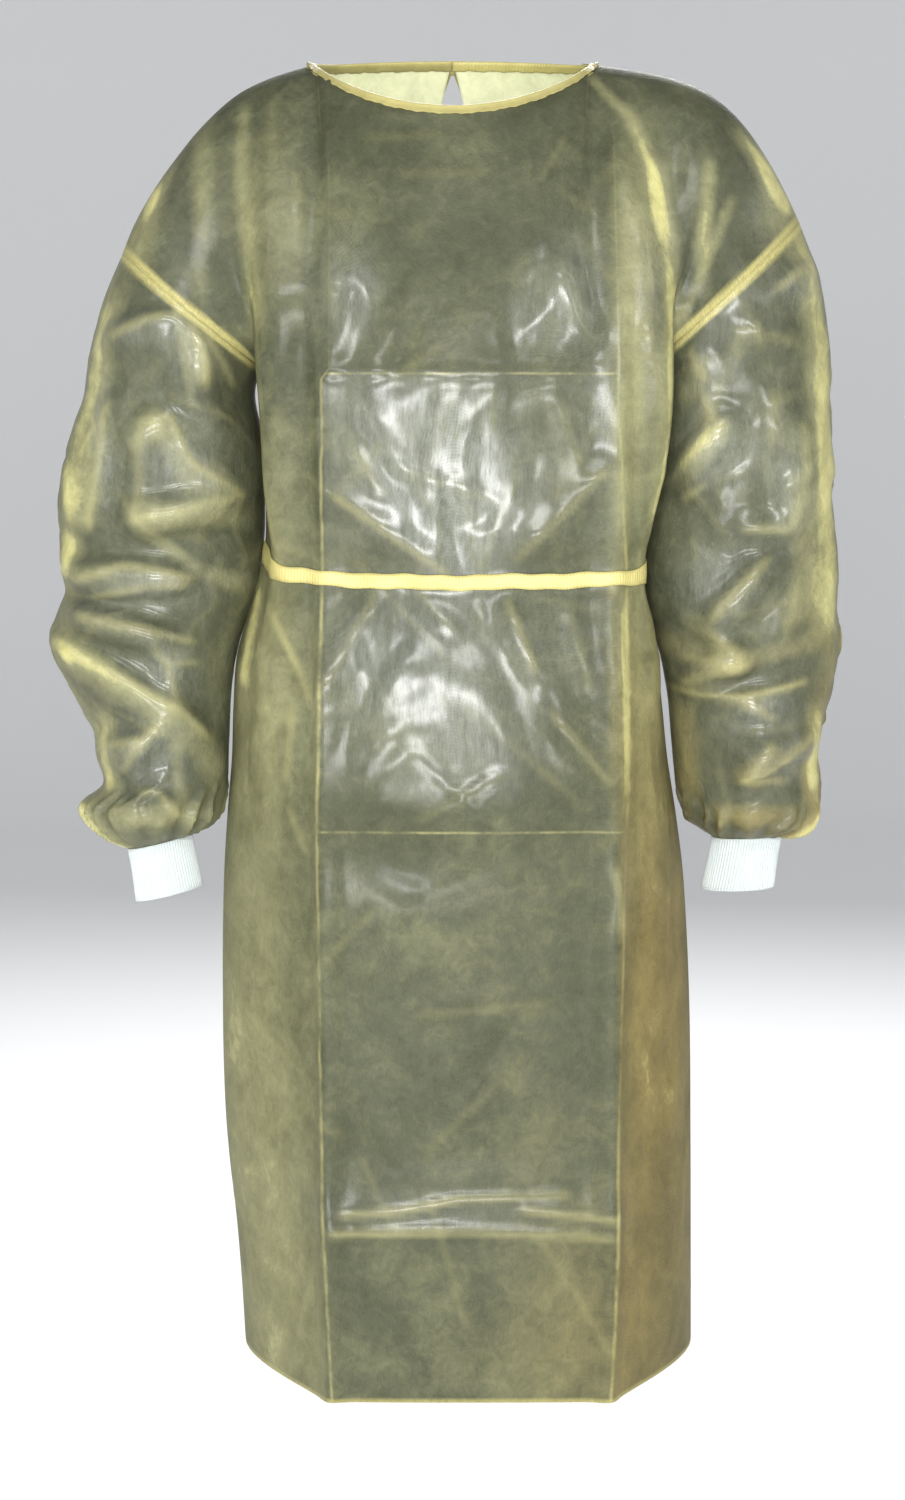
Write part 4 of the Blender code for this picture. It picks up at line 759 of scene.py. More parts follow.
def bare_cloth(name):
    """The uncoated inside of the same cloth: matt and pale, with the same clouds of fibres, and a faint
    painted glow, an emission in its own colours that stands in for light coming through."""
    made, shader, wire = blank(name)
    place = wire.node("TexCoord", None, None, "Object")
    cloud, blot = wire.noise(place, *CLOUDS), wire.noise(place, *BLOTS)
    pale = (cloud.stretch(0.36, 0.66) * 0.5 + blot.stretch(0.34, 0.68) * 0.5).clamped()
    plug(shader, "Base Color", pale.mix(INSIDE_DARK, INSIDE_PALE))
    plug(shader, "Roughness", 0.8)
    # painted light: the inside glows, standing in for light coming through the cloth
    plug(shader, "Emission Color", pale.mix(INSIDE_DARK, INSIDE_PALE))
    plug(shader, "Emission Strength", INSIDE_GLOW)
    emboss(shader, blot * 0.0008, 0.6)
    return made


INSIDE_DARK = (0.430, 0.440, 0.280, 1)
INSIDE_PALE = (0.640, 0.650, 0.430, 1)
INSIDE_GLOW = 0.28
cloth = coated_cloth("coated_cloth")
bare = bare_cloth("bare_cloth")
THICK = 0.0006
FRONT_ROWS, FRONT_FINE = 262, 182

front_sides = [(-1, (HALF_COLUMNS - c) / HALF_COLUMNS) for c in range(HALF_COLUMNS)]
front_sides += [(1, c / HALF_COLUMNS) for c in range(HALF_COLUMNS + 1)]
front_across = np.array([a for _, a in front_sides])
coarse = fold_panel(panel(front_sides, -1), -1, front_across)
neck_corners = (HALF_COLUMNS - NECK_COLUMN, HALF_COLUMNS + NECK_COLUMN)
front_points, front_row, front_column = refine(coarse, FRONT_ROWS, FRONT_FINE, neck_corners)


def dress_panel(points, row_at, facing, creases, fine, fade_sides):
    """Lifts a fine panel by its photographed creases, read in x and z and only where it faces that way,
    and by its small crumples, read along and down the cloth. Both fade out at the seams and the belt."""
    normals = sheet_normals(points, facing)
    columns = points.shape[1]
    s = np.cumsum(np.linalg.norm(np.diff(points, axis=1, prepend=points[:, :1]), axis=2), axis=1)
    s = s - s[:, columns // 2 : columns // 2 + 1] if fade_sides[1] else s
    seen = ease(1.5 * facing * normals[..., 1] - 0.15)
    lift, line = raised(points[..., 0], points[..., 2], creases)
    small, small_line = raised(s, points[..., 2], fine)
    edge = ease(row_at / 1.2)[:, None] * np.ones((1, columns))
    belt = ease(np.abs(row_at - BELT_ROW - 0.5) * 1.1 - 0.45)[:, None]
    at = np.arange(columns) / (columns - 1)
    if fade_sides[0]:
        edge = edge * ease(at * columns / 5)[None]
    if fade_sides[1]:
        edge = edge * ease((1 - at) * columns / 5)[None]
    total = (lift * seen + small) * edge * (0.12 + 0.88 * belt)
    return points + normals * total[..., None], normals, line * seen + small_line * 0.6


def together(*tables):
    """Several tables with the same columns as one."""
    return {key: np.concatenate([one[key] for one in tables]) for key in tables[0]}


def wider(creases, times):
    """The same creases, that many times as wide."""
    return {**creases, "half": times * creases["half"]}


# The creases are that much wider than their lines, so that the cloth between them lies in facets.
FRONT_FACET = 1.3
front_fine = crumples(3, 60, (-0.26, -0.68), (0.26, -0.27), (0.03, 0.12), (0.007, 0.018), (0.0004, 0.0013))
front_few = crumples(4, 46, (-0.30, -1.12), (0.30, -0.68), (0.03, 0.16), (0.006, 0.018), (0.0004, 0.0012))
front_top = crumples(5, 34, (-0.22, -0.27), (0.22, -0.06), (0.02, 0.09), (0.006, 0.016), (0.0003, 0.0012))
front_small = together(front_fine, front_few, front_top)
front_points, front_normals, front_line = dress_panel(
    front_points, front_row, -1, wider(FRONT_CREASES, FRONT_FACET), front_small, (True, True),
)


def seam_near(points, row_at, sides):
    """1 at a panel's armholes and shoulder seams, at its hem and, fainter, at its side seams, and 0 from
    SEAM_WIDE away."""
    down = np.cumsum(np.linalg.norm(np.diff(points, axis=0, prepend=points[:1]), axis=2), axis=0)
    along = np.cumsum(np.linalg.norm(np.diff(points, axis=1, prepend=points[:, :1]), axis=2), axis=1)
    hem = down[-1:] - down
    near = np.maximum(1 - down / SEAM_WIDE, 1 - hem / HEM_WIDE)
    arm = np.where(row_at < len(YOKE_SHARES) - 1, 1.0, 0.75)[:, None]
    if sides[0]:
        near = np.maximum(near, arm * (1 - along / SEAM_WIDE))
    if sides[1]:
        near = np.maximum(near, arm * (1 - (along[:, -1:] - along) / SEAM_WIDE))
    return ease(np.clip(near, 0, 1) * 2.2)


SEAM_WIDE = 0.0075
HEM_WIDE = 0.0045
# Over this distance a seam's or a free edge's yellow fades out. A free edge and an underarm seam are
# as wide as said here.
SEAM_SOFT = 0.003
EDGE_WIDE = 0.008
UNDERARM_WIDE = 0.004
front_seam = seam_near(front_points, front_row, (True, True))
fx, fz = front_points[..., 0], front_points[..., 2]
flank = ease((np.abs(front_normals[..., 0]) - 0.45) / 0.5)
front_thin = patches(fx, fz, FRONT_PATCHES) + 0.45 * flank * np.where(fx > 0, 1.0, 0.75) - 0.08
front_strips = raised(fx, fz, FRONT_STRIPS)[0] * ease(-2 * front_normals[..., 1])
front_thin = np.clip(np.clip(front_thin, 0, 0.66) + np.minimum(front_strips, 0.75), 0, 1)
front_packed = packing(fx, fz)
front_band = ease((-0.264 - fz) / 0.010) * ease((fz + 0.662) / 0.010) * ease(-front_packed[0] / 0.006)
# How glossy the front is, which also sets how much painted sheen its colour takes.
front_gloss_and_sheen = 0.02 + front_band * 0.24 + patches(fx, fz, FRONT_GLOSS_AND_SHEEN) * (0.25 + 0.75 * front_band)
front_gloss_and_sheen = np.clip(front_gloss_and_sheen + patches(fx, fz, FRONT_SHINE), 0, 1)
front = cloth_mesh(
    "front_cloth", front_points, front_seam, front_thin, front_line, front_gloss_and_sheen, front_packed,
)
cloth_piece(front, THICK, lambda at: np.array([0, -1, 0]), cloth, ["front"], bare)


# ---------------------------------------------------------------------------------------------------
# Backs. Two panels of the same cloth, sewn to the front at the shoulders and the sides. They are open
# down the middle, and the wearer's left one laps over the right one from a little below the armholes.
# ---------------------------------------------------------------------------------------------------

LAP_COLUMNS = 2
# How far the free edge of each panel runs past the middle, and how far the outer one stands off.
OPENING = table("z past lift", [
    (0.012, -0.0006, 0.0), (-0.020, -0.009, 0.0), (-0.090, -0.022, 0.0), (-0.180, -0.030, 0.0),
    (-0.270, -0.020, 0.0), (-0.330, -0.006, 0.003), (-0.390, 0.016, 0.005), (-0.447, 0.028, 0.005),
    (-0.560, 0.034, 0.0055), (-0.800, 0.036, 0.0055), (-LENGTH, 0.034, 0.0055),
])
BACK_CREASES = in_mm([
    (-108, -30, -112, -430, 7, 1.4, 1, 0), (-111, -460, -107, -1150, 7, 1.4, 1, 0),
    (140, -30, 142, -430, 7, 1.4, 1, 0), (141, -460, 137, -1150, 7, 1.4, 1, 0),
    (-112, -269, -20, -271, 6, 1.4, 1, 0), (20, -270, 140, -268, 6, 1.4, 1, 0),
    (-112, -658, 140, -658, 6, 1.5, 1, 0), (-110, -985, 138, -988, 6, 1.4, 1, 0),
    (-90, -330, -60, -400, 14, 2.4, 1, 0.3), (-60, -400, -40, -436, 12, 2.4, 1, 0.3),
    (100, -340, 70, -400, 14, 2.4, 1, 0.3), (70, -400, 46, -436, 12, 2.4, 1, 0.3),
    (-60, -460, -100, -560, 15, 3.0, 1, 0.3), (-38, -458, -48, -530, 10, 2.2, 1, 0.2),
    (58, -460, 96, -552, 15, 3.0, 1, 0.3), (90, -462, 120, -520, 11, 2.2, 1, 0.3),
    (-60, -150, -92, -240, 14, 2.6, 0, 0.1), (66, -140, 100, -235, 15, 2.8, 0, 0.1),
    (-46, -60, -70, -140, 12, 1.6, 0, 0.0), (60, -55, 84, -130, 12, 1.6, 0, 0.0),
    (-40, -560, -70, -680, 20, 2.0, 0, 0.0), (70, -580, 60, -700, 20, 2.0, 0, 0.0),
])
BACK_PATCHES = table("x z rx rz amount", [
    (-0.015, -0.150, 0.030, 0.200, 0.45), (0.020, -0.150, 0.030, 0.200, 0.45),
    (-0.150, -0.200, 0.030, 0.140, 0.35), (0.160, -0.200, 0.030, 0.140, 0.35),
    (-0.180, -0.800, 0.035, 0.300, 0.45), (0.180, -0.800, 0.035, 0.300, 0.45),
    (0.000, -1.000, 0.060, 0.200, 0.20), (-0.030, -0.700, 0.010, 0.450, 0.30),
])
BACK_FINE = 98


def back_grid(side):
    """The coarse grid of one back panel, from its side seam to its free edge. The columns between the
    packing crease and the middle are spread anew as far as that edge."""
    across = np.arange(HALF_COLUMNS, -1, -1) / HALF_COLUMNS
    points = fold_panel(panel([(side, a) for a in across], 1), 1, across)
    past = by_height(OPENING, "past", points[:, -1, 2])
    lift = by_height(OPENING, "lift", points[:, -1, 2]) if side > 0 else 0 * past
    crease = HALF_COLUMNS - CREASE_COLUMN[side]
    spread = np.linspace(0, 1, HALF_COLUMNS - crease + 1 + LAP_COLUMNS)[1:]
    seen = points[:, crease:]
    widths = side * seen[..., 0]
    x = widths[:, :1] + (-past[:, None] - widths[:, :1]) * spread[None]
    strips = np.array([
        stack(side * row_x, *[np.interp(np.abs(row_x), width[::-1], row[::-1, k]) for k in (1, 2)])
        for row_x, width, row in zip(x, widths, seen)
    ])
    points = np.concatenate([points[:, : crease + 1], strips], axis=1)
    reach = np.concatenate([np.zeros(crease + 1), ease(spread * 1.2)])
    points[..., 1] += lift[:, None] * reach[None]
    return points, crease


backs = {}
for side, word, seed in ((-1, "right", 11), (1, "left", 21)):
    coarse, crease = back_grid(side)
    corners = (crease,) if side < 0 else (crease, crease + 1)
    points, row_at, _ = refine(coarse, FRONT_ROWS, BACK_FINE, corners)
    tight = crumples(seed, 60, (0, -0.66), (0.34, -0.27), (0.02, 0.10), (0.005, 0.014), (0.0005, 0.0015))
    loose = crumples(seed + 1, 40, (0, -1.12), (0.36, -0.66), (0.03, 0.15), (0.006, 0.018), (0.0004, 0.0012))
    high = crumples(seed + 2, 24, (0, -0.27), (0.30, -0.05), (0.02, 0.09), (0.006, 0.016), (0.0004, 0.0012))
    small = together(tight, loose, high)
    small["height"] = np.abs(small["height"])
    points, normals, line = dress_panel(points, row_at, 1, BACK_CREASES, small, (True, False))
    edge = np.linalg.norm(points - points[:, -1:], axis=2)
    seam = seam_near(points, row_at, (True, False))
    seam = np.maximum(seam, 0.8 * ease((EDGE_WIDE - edge) / SEAM_SOFT))
    bx, bz = points[..., 0], points[..., 2]
    thin = patches(bx, bz, BACK_PATCHES) + 0.5 * ease((np.abs(normals[..., 0]) - 0.45) / 0.5)
    # How glossy the backs are, most between the packing creases across, which also sets their painted sheen.
    gloss_and_sheen = 0.30 + 0.45 * ease((-0.262 - bz) / 0.012) * ease((bz + 0.664) / 0.012)
    thin = np.clip(thin, 0, 0.66)
    made = cloth_mesh(f"back_{word}_cloth", points, seam, thin, line, gloss_and_sheen, packing(bx, bz))
    cloth_piece(made, THICK, lambda at: np.array([0, 1, 0]), cloth, ["back_" + word], bare)
    backs[side] = (points, normals, row_at)


# ---------------------------------------------------------------------------------------------------
# Sleeves. Each is one cut of the same cloth, sewn into a tube and into its armhole. It is wide and
# long, so it lies in deep slanting folds, and its end is gathered onto the cuff.
# ---------------------------------------------------------------------------------------------------

# Sections of the sleeves: the outermost and innermost point of each, its depth in front and behind, and
# how far forward its middle lies.
SLEEVE_COLUMNS = "outer outer_z inner inner_z front back forward"
SLEEVE = {
    -1: table(SLEEVE_COLUMNS, [
        (0.290, -0.163, 0.170, -0.262, 0.096, 0.092, 0.000),
        (0.308, -0.205, 0.1775, -0.287, 0.093, 0.090, 0.000),
        (0.321, -0.257, 0.1745, -0.318, 0.088, 0.087, -0.002),
        (0.329, -0.303, 0.1735, -0.347, 0.086, 0.085, -0.004),
        (0.343, -0.345, 0.1735, -0.376, 0.084, 0.083, -0.006),
        (0.351, -0.385, 0.174, -0.406, 0.081, 0.081, -0.008),
        (0.351, -0.420, 0.1755, -0.432, 0.077, 0.078, -0.008),
        (0.346, -0.462, 0.181, -0.466, 0.073, 0.075, -0.006),
        (0.359, -0.505, 0.1935, -0.504, 0.070, 0.072, -0.003),
        (0.345, -0.544, 0.201, -0.541, 0.066, 0.068, 0.000),
        (0.323, -0.582, 0.204, -0.578, 0.061, 0.062, 0.004),
        (0.318, -0.612, 0.2055, -0.606, 0.058, 0.058, 0.007),
        (0.314, -0.634, 0.2065, -0.627, 0.056, 0.055, 0.010),
        (0.333, -0.652, 0.2085, -0.645, 0.060, 0.056, 0.012),
        (0.326, -0.669, 0.2105, -0.659, 0.057, 0.053, 0.013),
        (0.309, -0.683, 0.220, -0.671, 0.042, 0.038, 0.014),
        (0.292, -0.692, 0.234, -0.678, 0.023, 0.023, 0.015),
    ]),
    1: table(SLEEVE_COLUMNS, [
        (0.305, -0.137, 0.172, -0.262, 0.096, 0.092, 0.000),
        (0.322, -0.182, 0.179, -0.284, 0.094, 0.090, 0.000),
        (0.333, -0.235, 0.1775, -0.312, 0.090, 0.087, -0.002),
        (0.335, -0.290, 0.176, -0.342, 0.087, 0.085, -0.004),
        (0.338, -0.345, 0.1745, -0.375, 0.084, 0.083, -0.006),
        (0.340, -0.390, 0.1705, -0.408, 0.081, 0.081, -0.008),
        (0.345, -0.438, 0.1705, -0.445, 0.077, 0.078, -0.007),
        (0.344, -0.480, 0.1775, -0.482, 0.073, 0.074, -0.004),
        (0.346, -0.518, 0.189, -0.517, 0.070, 0.070, -0.001),
        (0.338, -0.558, 0.1965, -0.554, 0.066, 0.066, 0.002),
        (0.328, -0.594, 0.200, -0.588, 0.062, 0.062, 0.005),
        (0.330, -0.626, 0.203, -0.616, 0.059, 0.058, 0.008),
        (0.331, -0.646, 0.2055, -0.636, 0.059, 0.056, 0.011),
        (0.330, -0.660, 0.208, -0.650, 0.058, 0.054, 0.012),
        (0.322, -0.671, 0.212, -0.662, 0.053, 0.050, 0.013),
        (0.308, -0.677, 0.221, -0.671, 0.041, 0.038, 0.014),
        (0.296, -0.679, 0.233, -0.681, 0.024, 0.024, 0.015),
    ]),
}
SLEEVE_FOLDS = {
    -1: table("x0 z0 x1 z1 half height side", [
        (-0.305, -0.250, -0.200, -0.215, 0.028, 0.006, -1),
        (-0.235, -0.250, -0.200, -0.330, 0.028, 0.008, -1),
        (-0.325, -0.300, -0.335, -0.400, 0.026, 0.006, -1),
        (-0.285, -0.300, -0.250, -0.345, 0.028, 0.007, -1),
        (-0.290, -0.400, -0.200, -0.385, 0.026, 0.008, -1),
        (-0.350, -0.440, -0.240, -0.450, 0.022, 0.007, -1),
        (-0.340, -0.478, -0.245, -0.505, 0.022, 0.008, -1),
        (-0.350, -0.510, -0.225, -0.590, 0.024, 0.007, -1),
        (-0.310, -0.600, -0.245, -0.590, 0.022, 0.005, -1),
        (-0.300, -0.220, -0.215, -0.300, 0.030, 0.007, 1),
        (-0.335, -0.330, -0.220, -0.370, 0.028, 0.007, 1),
        (-0.340, -0.430, -0.230, -0.440, 0.026, 0.008, 1),
        (-0.345, -0.510, -0.235, -0.490, 0.024, 0.007, 1),
        (-0.315, -0.580, -0.235, -0.560, 0.024, 0.006, 1),
    ]),
    1: table("x0 z0 x1 z1 half height side", [
        (0.225, -0.150, 0.205, -0.235, 0.026, 0.007, -1), (0.260, -0.090, 0.235, -0.150, 0.024, 0.006, -1),
        (0.310, -0.180, 0.280, -0.205, 0.024, 0.006, -1), (0.245, -0.310, 0.205, -0.360, 0.026, 0.008, -1),
        (0.285, -0.290, 0.300, -0.400, 0.026, 0.007, -1), (0.280, -0.440, 0.225, -0.495, 0.024, 0.008, -1),
        (0.260, -0.505, 0.210, -0.545, 0.022, 0.007, -1), (0.325, -0.535, 0.200, -0.550, 0.024, -0.007, -1),
        (0.320, -0.590, 0.250, -0.600, 0.024, 0.008, -1), (0.310, -0.190, 0.215, -0.290, 0.030, 0.007, 1),
        (0.330, -0.340, 0.225, -0.370, 0.028, 0.007, 1), (0.335, -0.420, 0.225, -0.445, 0.026, 0.008, 1),
        (0.335, -0.500, 0.230, -0.500, 0.024, 0.007, 1), (0.320, -0.570, 0.235, -0.570, 0.024, 0.006, 1),
    ]),
}
# How far the folds fade where a sleeve lies against the body, and over what share of its half turn.
BODY_SIDE_EVEN = 0.9
BODY_SIDE_SPREAD = 0.22
INNER_SWELL = table("at swell", [
    (0, 0), (1, 0.002), (3, 0.006), (5, 0.006), (8, 0.003), (12, 0.005), (14, 0.003), (16, 0),
])
# The rings of a sleeve are numbered from its armhole down to its cuff.
LAST_RING = 16
GATHER_START = 12
GATHERS = 17
GATHER_HEIGHT = 0.0044
SLEEVE_ROWS, SLEEVE_AROUND = 190, 156
# The facets beside the creases of a sleeve are this much wider than the table's half widths.
SLEEVE_FACET = 1.9
# Creases of each sleeve as they show from in front, in millimetres.
SLEEVE_CREASES = {
    -1: in_mm([
        (-223, -136, -227, -204, 10, 3.0, 1, 0.4), (-225, -221, -218, -276, 10, 3.0, 1, 0.5),
        (-196, -175, -187, -228, 9, 2.2, 1, 0.3), (-176, -198, -170, -228, 8, 1.6, 1, 0.2),
        (-290, -238, -255, -224, 9, 2.6, 1, 0.6), (-255, -224, -227, -218, 8, 2.2, 1, 0.5),
        (-220, -227, -217, -282, 9, 2.4, 1, 0.4), (-214, -227, -191, -282, 9, 2.6, 1, 0.4),
        (-294, -295, -316, -404, 12, 3.4, 1, 0.5), (-330, -344, -330, -400, 9, 2.2, 1, 0.4),
        (-266, -313, -243, -305, 10, 3.0, 1, 0.4), (-243, -305, -229, -343, 10, 3.0, 1, 0.4),
        (-229, -343, -189, -374, 12, 3.4, 1, 0.5), (-273, -394, -189, -374, 12, 3.6, 1, 0.5),
        (-266, -313, -273, -394, 12, 2.6, 1, 0.3), (-326, -448, -283, -436, 10, 3.2, 1, 0.6),
        (-283, -436, -228, -446, 9, 2.8, 1, 0.5), (-315, -463, -268, -452, 8, 2.4, 1, 0.5),
        (-268, -452, -233, -452, 8, 2.2, 1, 0.4), (-324, -482, -269, -492, 10, 3.2, 1, 0.5),
        (-269, -492, -227, -503, 9, 2.6, 1, 0.4), (-263, -505, -251, -519, 8, 2.4, 1, 0.3),
        (-251, -519, -225, -522, 8, 2.4, 1, 0.3), (-251, -519, -243, -561, 9, 2.8, 1, 0.4),
        (-344, -503, -287, -536, 10, 3.4, 1, 0.7), (-287, -536, -239, -568, 9, 3.0, 1, 0.6),
        (-239, -568, -217, -590, 8, 2.2, 1, 0.5), (-301, -594, -268, -588, 9, 2.6, 1, 0.4),
        (-290, -617, -256, -572, 9, 2.8, 1, 0.5), (-277, -635, -259, -635, 7, 1.8, 1, 0.4),
        (-259, -635, -242, -655, 7, 1.8, 1, 0.4), (-240, -100, -262, -150, 12, 2.0, 0, 0.2),
    ]),
    1: in_mm([
        (212, -130, 200, -156, 10, 3.0, 1, 0.4), (200, -156, 189, -188, 9, 2.6, 1, 0.4),
        (243, -62, 227, -109, 11, 3.0, 0, 0.3), (200, -81, 206, -133, 9, 2.4, 1, 0.4),
        (210, -83, 212, -121, 8, 2.0, 1, 0.3), (226, -136, 246, -163, 10, 3.0, 1, 0.4),
        (246, -163, 213, -188, 10, 2.8, 1, 0.4), (301, -179, 275, -199, 9, 2.4, 1, 0.5),
        (299, -210, 317, -205, 8, 1.8, 1, 0.4), (205, -247, 219, -276, 9, 2.4, 1, 0.5),
        (215, -284, 229, -312, 9, 2.4, 1, 0.5), (235, -312, 204, -349, 11, 3.8, 1, 1.0),
        (221, -363, 204, -378, 9, 2.6, 1, 0.4), (274, -281, 274, -337, 12, 2.6, 0, 0.2),
        (296, -312, 299, -351, 12, 3.2, 1, 0.4), (299, -351, 293, -400, 12, 3.2, 1, 0.4),
        (251, -403, 291, -403, 11, 3.2, 1, 0.4), (274, -429, 229, -483, 12, 3.6, 1, 0.5),
        (229, -492, 255, -518, 10, 3.0, 1, 0.4), (255, -518, 206, -538, 10, 3.0, 1, 0.5),
        (203, -515, 252, -521, 9, 2.4, 1, 0.4), (194, -544, 253, -553, 10, 3.4, 1, 0.6),
        (253, -553, 313, -538, 10, 3.6, 1, 0.7), (253, -556, 284, -570, 9, 2.6, 1, 0.4),
        (278, -591, 256, -625, 10, 2.8, 1, 0.4), (256, -625, 296, -625, 9, 2.2, 1, 0.4),
        (316, -582, 256, -625, 10, 3.0, 1, 0.5), (300, -440, 290, -500, 14, 3.0, 0, 0.2),
        (240, -230, 300, -245, 12, 2.4, 0, 0.2), (310, -300, 322, -390, 12, 3.0, 1, 0.3),
    ]),
}


# Strips of each sleeve, as it shows from in front, that lie double or stand clear and so are yellow, and
# patches whose film lies smooth over what is under it and mirrors the lamps, and whose colour takes the
# painted sheen.
SLEEVE_STRIPS = {
    -1: in_mm([
        (-294, -200, -317, -318, 22, 450, 0, 0), (-317, -318, -322, -400, 22, 520, 0, 0),
        (-273, -395, -185, -392, 17, 420, 0, 0), (-273, -400, -221, -440, 12, 420, 0, 0),
        (-221, -440, -181, -457, 14, 450, 0, 0), (-335, -405, -341, -448, 20, 700, 0, 0),
        (-344, -501, -301, -536, 24, 620, 0, 0), (-301, -536, -266, -558, 20, 520, 0, 0),
        (-266, -558, -222, -598, 20, 480, 0, 0), (-222, -598, -209, -625, 18, 450, 0, 0),
        (-306, -560, -300, -640, 17, 600, 0, 0), (-262, -300, -225, -370, 15, 400, 0, 0),
        (-235, -215, -225, -300, 8, 400, 0, 0), (-300, -655, -225, -655, 16, 450, 0, 0),
        (-245, -590, -240, -640, 10, 400, 0, 0),
    ]),
    1: in_mm([
        (297, -140, 320, -250, 24, 500, 0, 0), (320, -250, 326, -380, 27, 550, 0, 0),
        (326, -380, 330, -500, 27, 500, 0, 0), (236, -312, 204, -362, 16, 500, 0, 0),
        (250, -230, 215, -320, 15, 400, 0, 0), (173, -501, 235, -518, 16, 300, 0, 0),
        (250, -519, 326, -501, 16, 450, 0, 0), (300, -380, 310, -480, 24, 400, 0, 0),
        (205, -470, 220, -495, 15, 250, 0, 0), (300, -655, 235, -655, 16, 450, 0, 0),
        (205, -560, 212, -640, 15, 500, 0, 0), (320, -560, 318, -640, 17, 600, 0, 0),
        (222, -250, 205, -290, 14, 500, 0, 0),
    ]),
}
SLEEVE_GLOSS_AND_SHEEN = {
    -1: table("x z rx rz amount", [
        (-0.302, -0.320, 0.010, 0.055, 0.9), (-0.235, -0.350, 0.040, 0.035, 0.7),
        (-0.222, -0.235, 0.022, 0.050, 0.8), (-0.262, -0.452, 0.050, 0.018, 0.8),
        (-0.248, -0.525, 0.024, 0.024, 1.0), (-0.265, -0.600, 0.034, 0.030, 0.8),
        (-0.270, -0.235, 0.030, 0.012, 0.6), (-0.300, -0.480, 0.030, 0.012, 0.5),
    ]),
    1: table("x z rx rz amount", [
        (0.215, -0.110, 0.022, 0.040, 0.7), (0.236, -0.335, 0.034, 0.030, 0.9),
        (0.290, -0.370, 0.018, 0.050, 0.6), (0.228, -0.450, 0.034, 0.034, 0.8),
        (0.235, -0.215, 0.026, 0.036, 0.5), (0.296, -0.195, 0.024, 0.018, 0.7),
        (0.272, -0.560, 0.034, 0.020, 0.8), (0.290, -0.610, 0.030, 0.022, 0.6),
        (0.225, -0.525, 0.030, 0.012, 0.5), (0.215, -0.285, 0.012, 0.040, 0.7),
    ]),
}


def tube_normals(points):
    """Unit normals of a grid of closed rings, outwards."""
    ringed = np.concatenate([points[:, -1:], points, points[:, :1]], axis=1)
    normals = unit(np.cross(np.gradient(points, axis=0), ringed[:, 2:] - ringed[:, :-2]))
    outwards = points - points.mean(1, keepdims=True)
    return normals * np.sign((outwards * normals).sum(-1).mean())


def sleeve_ring(side, at, turn):
    """Rings of the sleeve at the given places down its table, with turn 0 outermost, half of pi in front
    and pi innermost: half ellipses in front of and behind the line between those two points."""
    rows = SLEEVE[side]
    knots = np.arange(len(rows["outer"]), dtype=float)
    size = {key: smooth(at, knots, values)[:, None, None] for key, values in rows.items()}
    outer = np.concatenate([side * size["outer"], -size["forward"], size["outer_z"]], axis=2)
    inner = np.concatenate([side * size["inner"], -size["forward"], size["inner_z"]], axis=2)
    turn = turn[None, :, None]
    depth = np.where(turn < math.pi, -size["front"], size["back"])
    across = (outer + inner) / 2 + np.cos(turn) * (outer - inner) / 2
    return across + np.abs(np.sin(turn)) * depth * np.array([0, 1, 0])


def armhole(side, facing, share):
    """The armhole at shares of the way down it, on the fine edge of the panel."""
    points, row_at = (front_points, front_row) if facing < 0 else (backs[side][0], backs[side][2])
    edge = points[:, 0 if side < 0 or facing > 0 else -1]
    at = np.interp(share, YOKE_SHARES, np.arange(len(YOKE_SHARES)))
    return np.stack([np.interp(at, row_at, edge[:, k]) for k in range(3)], axis=1)


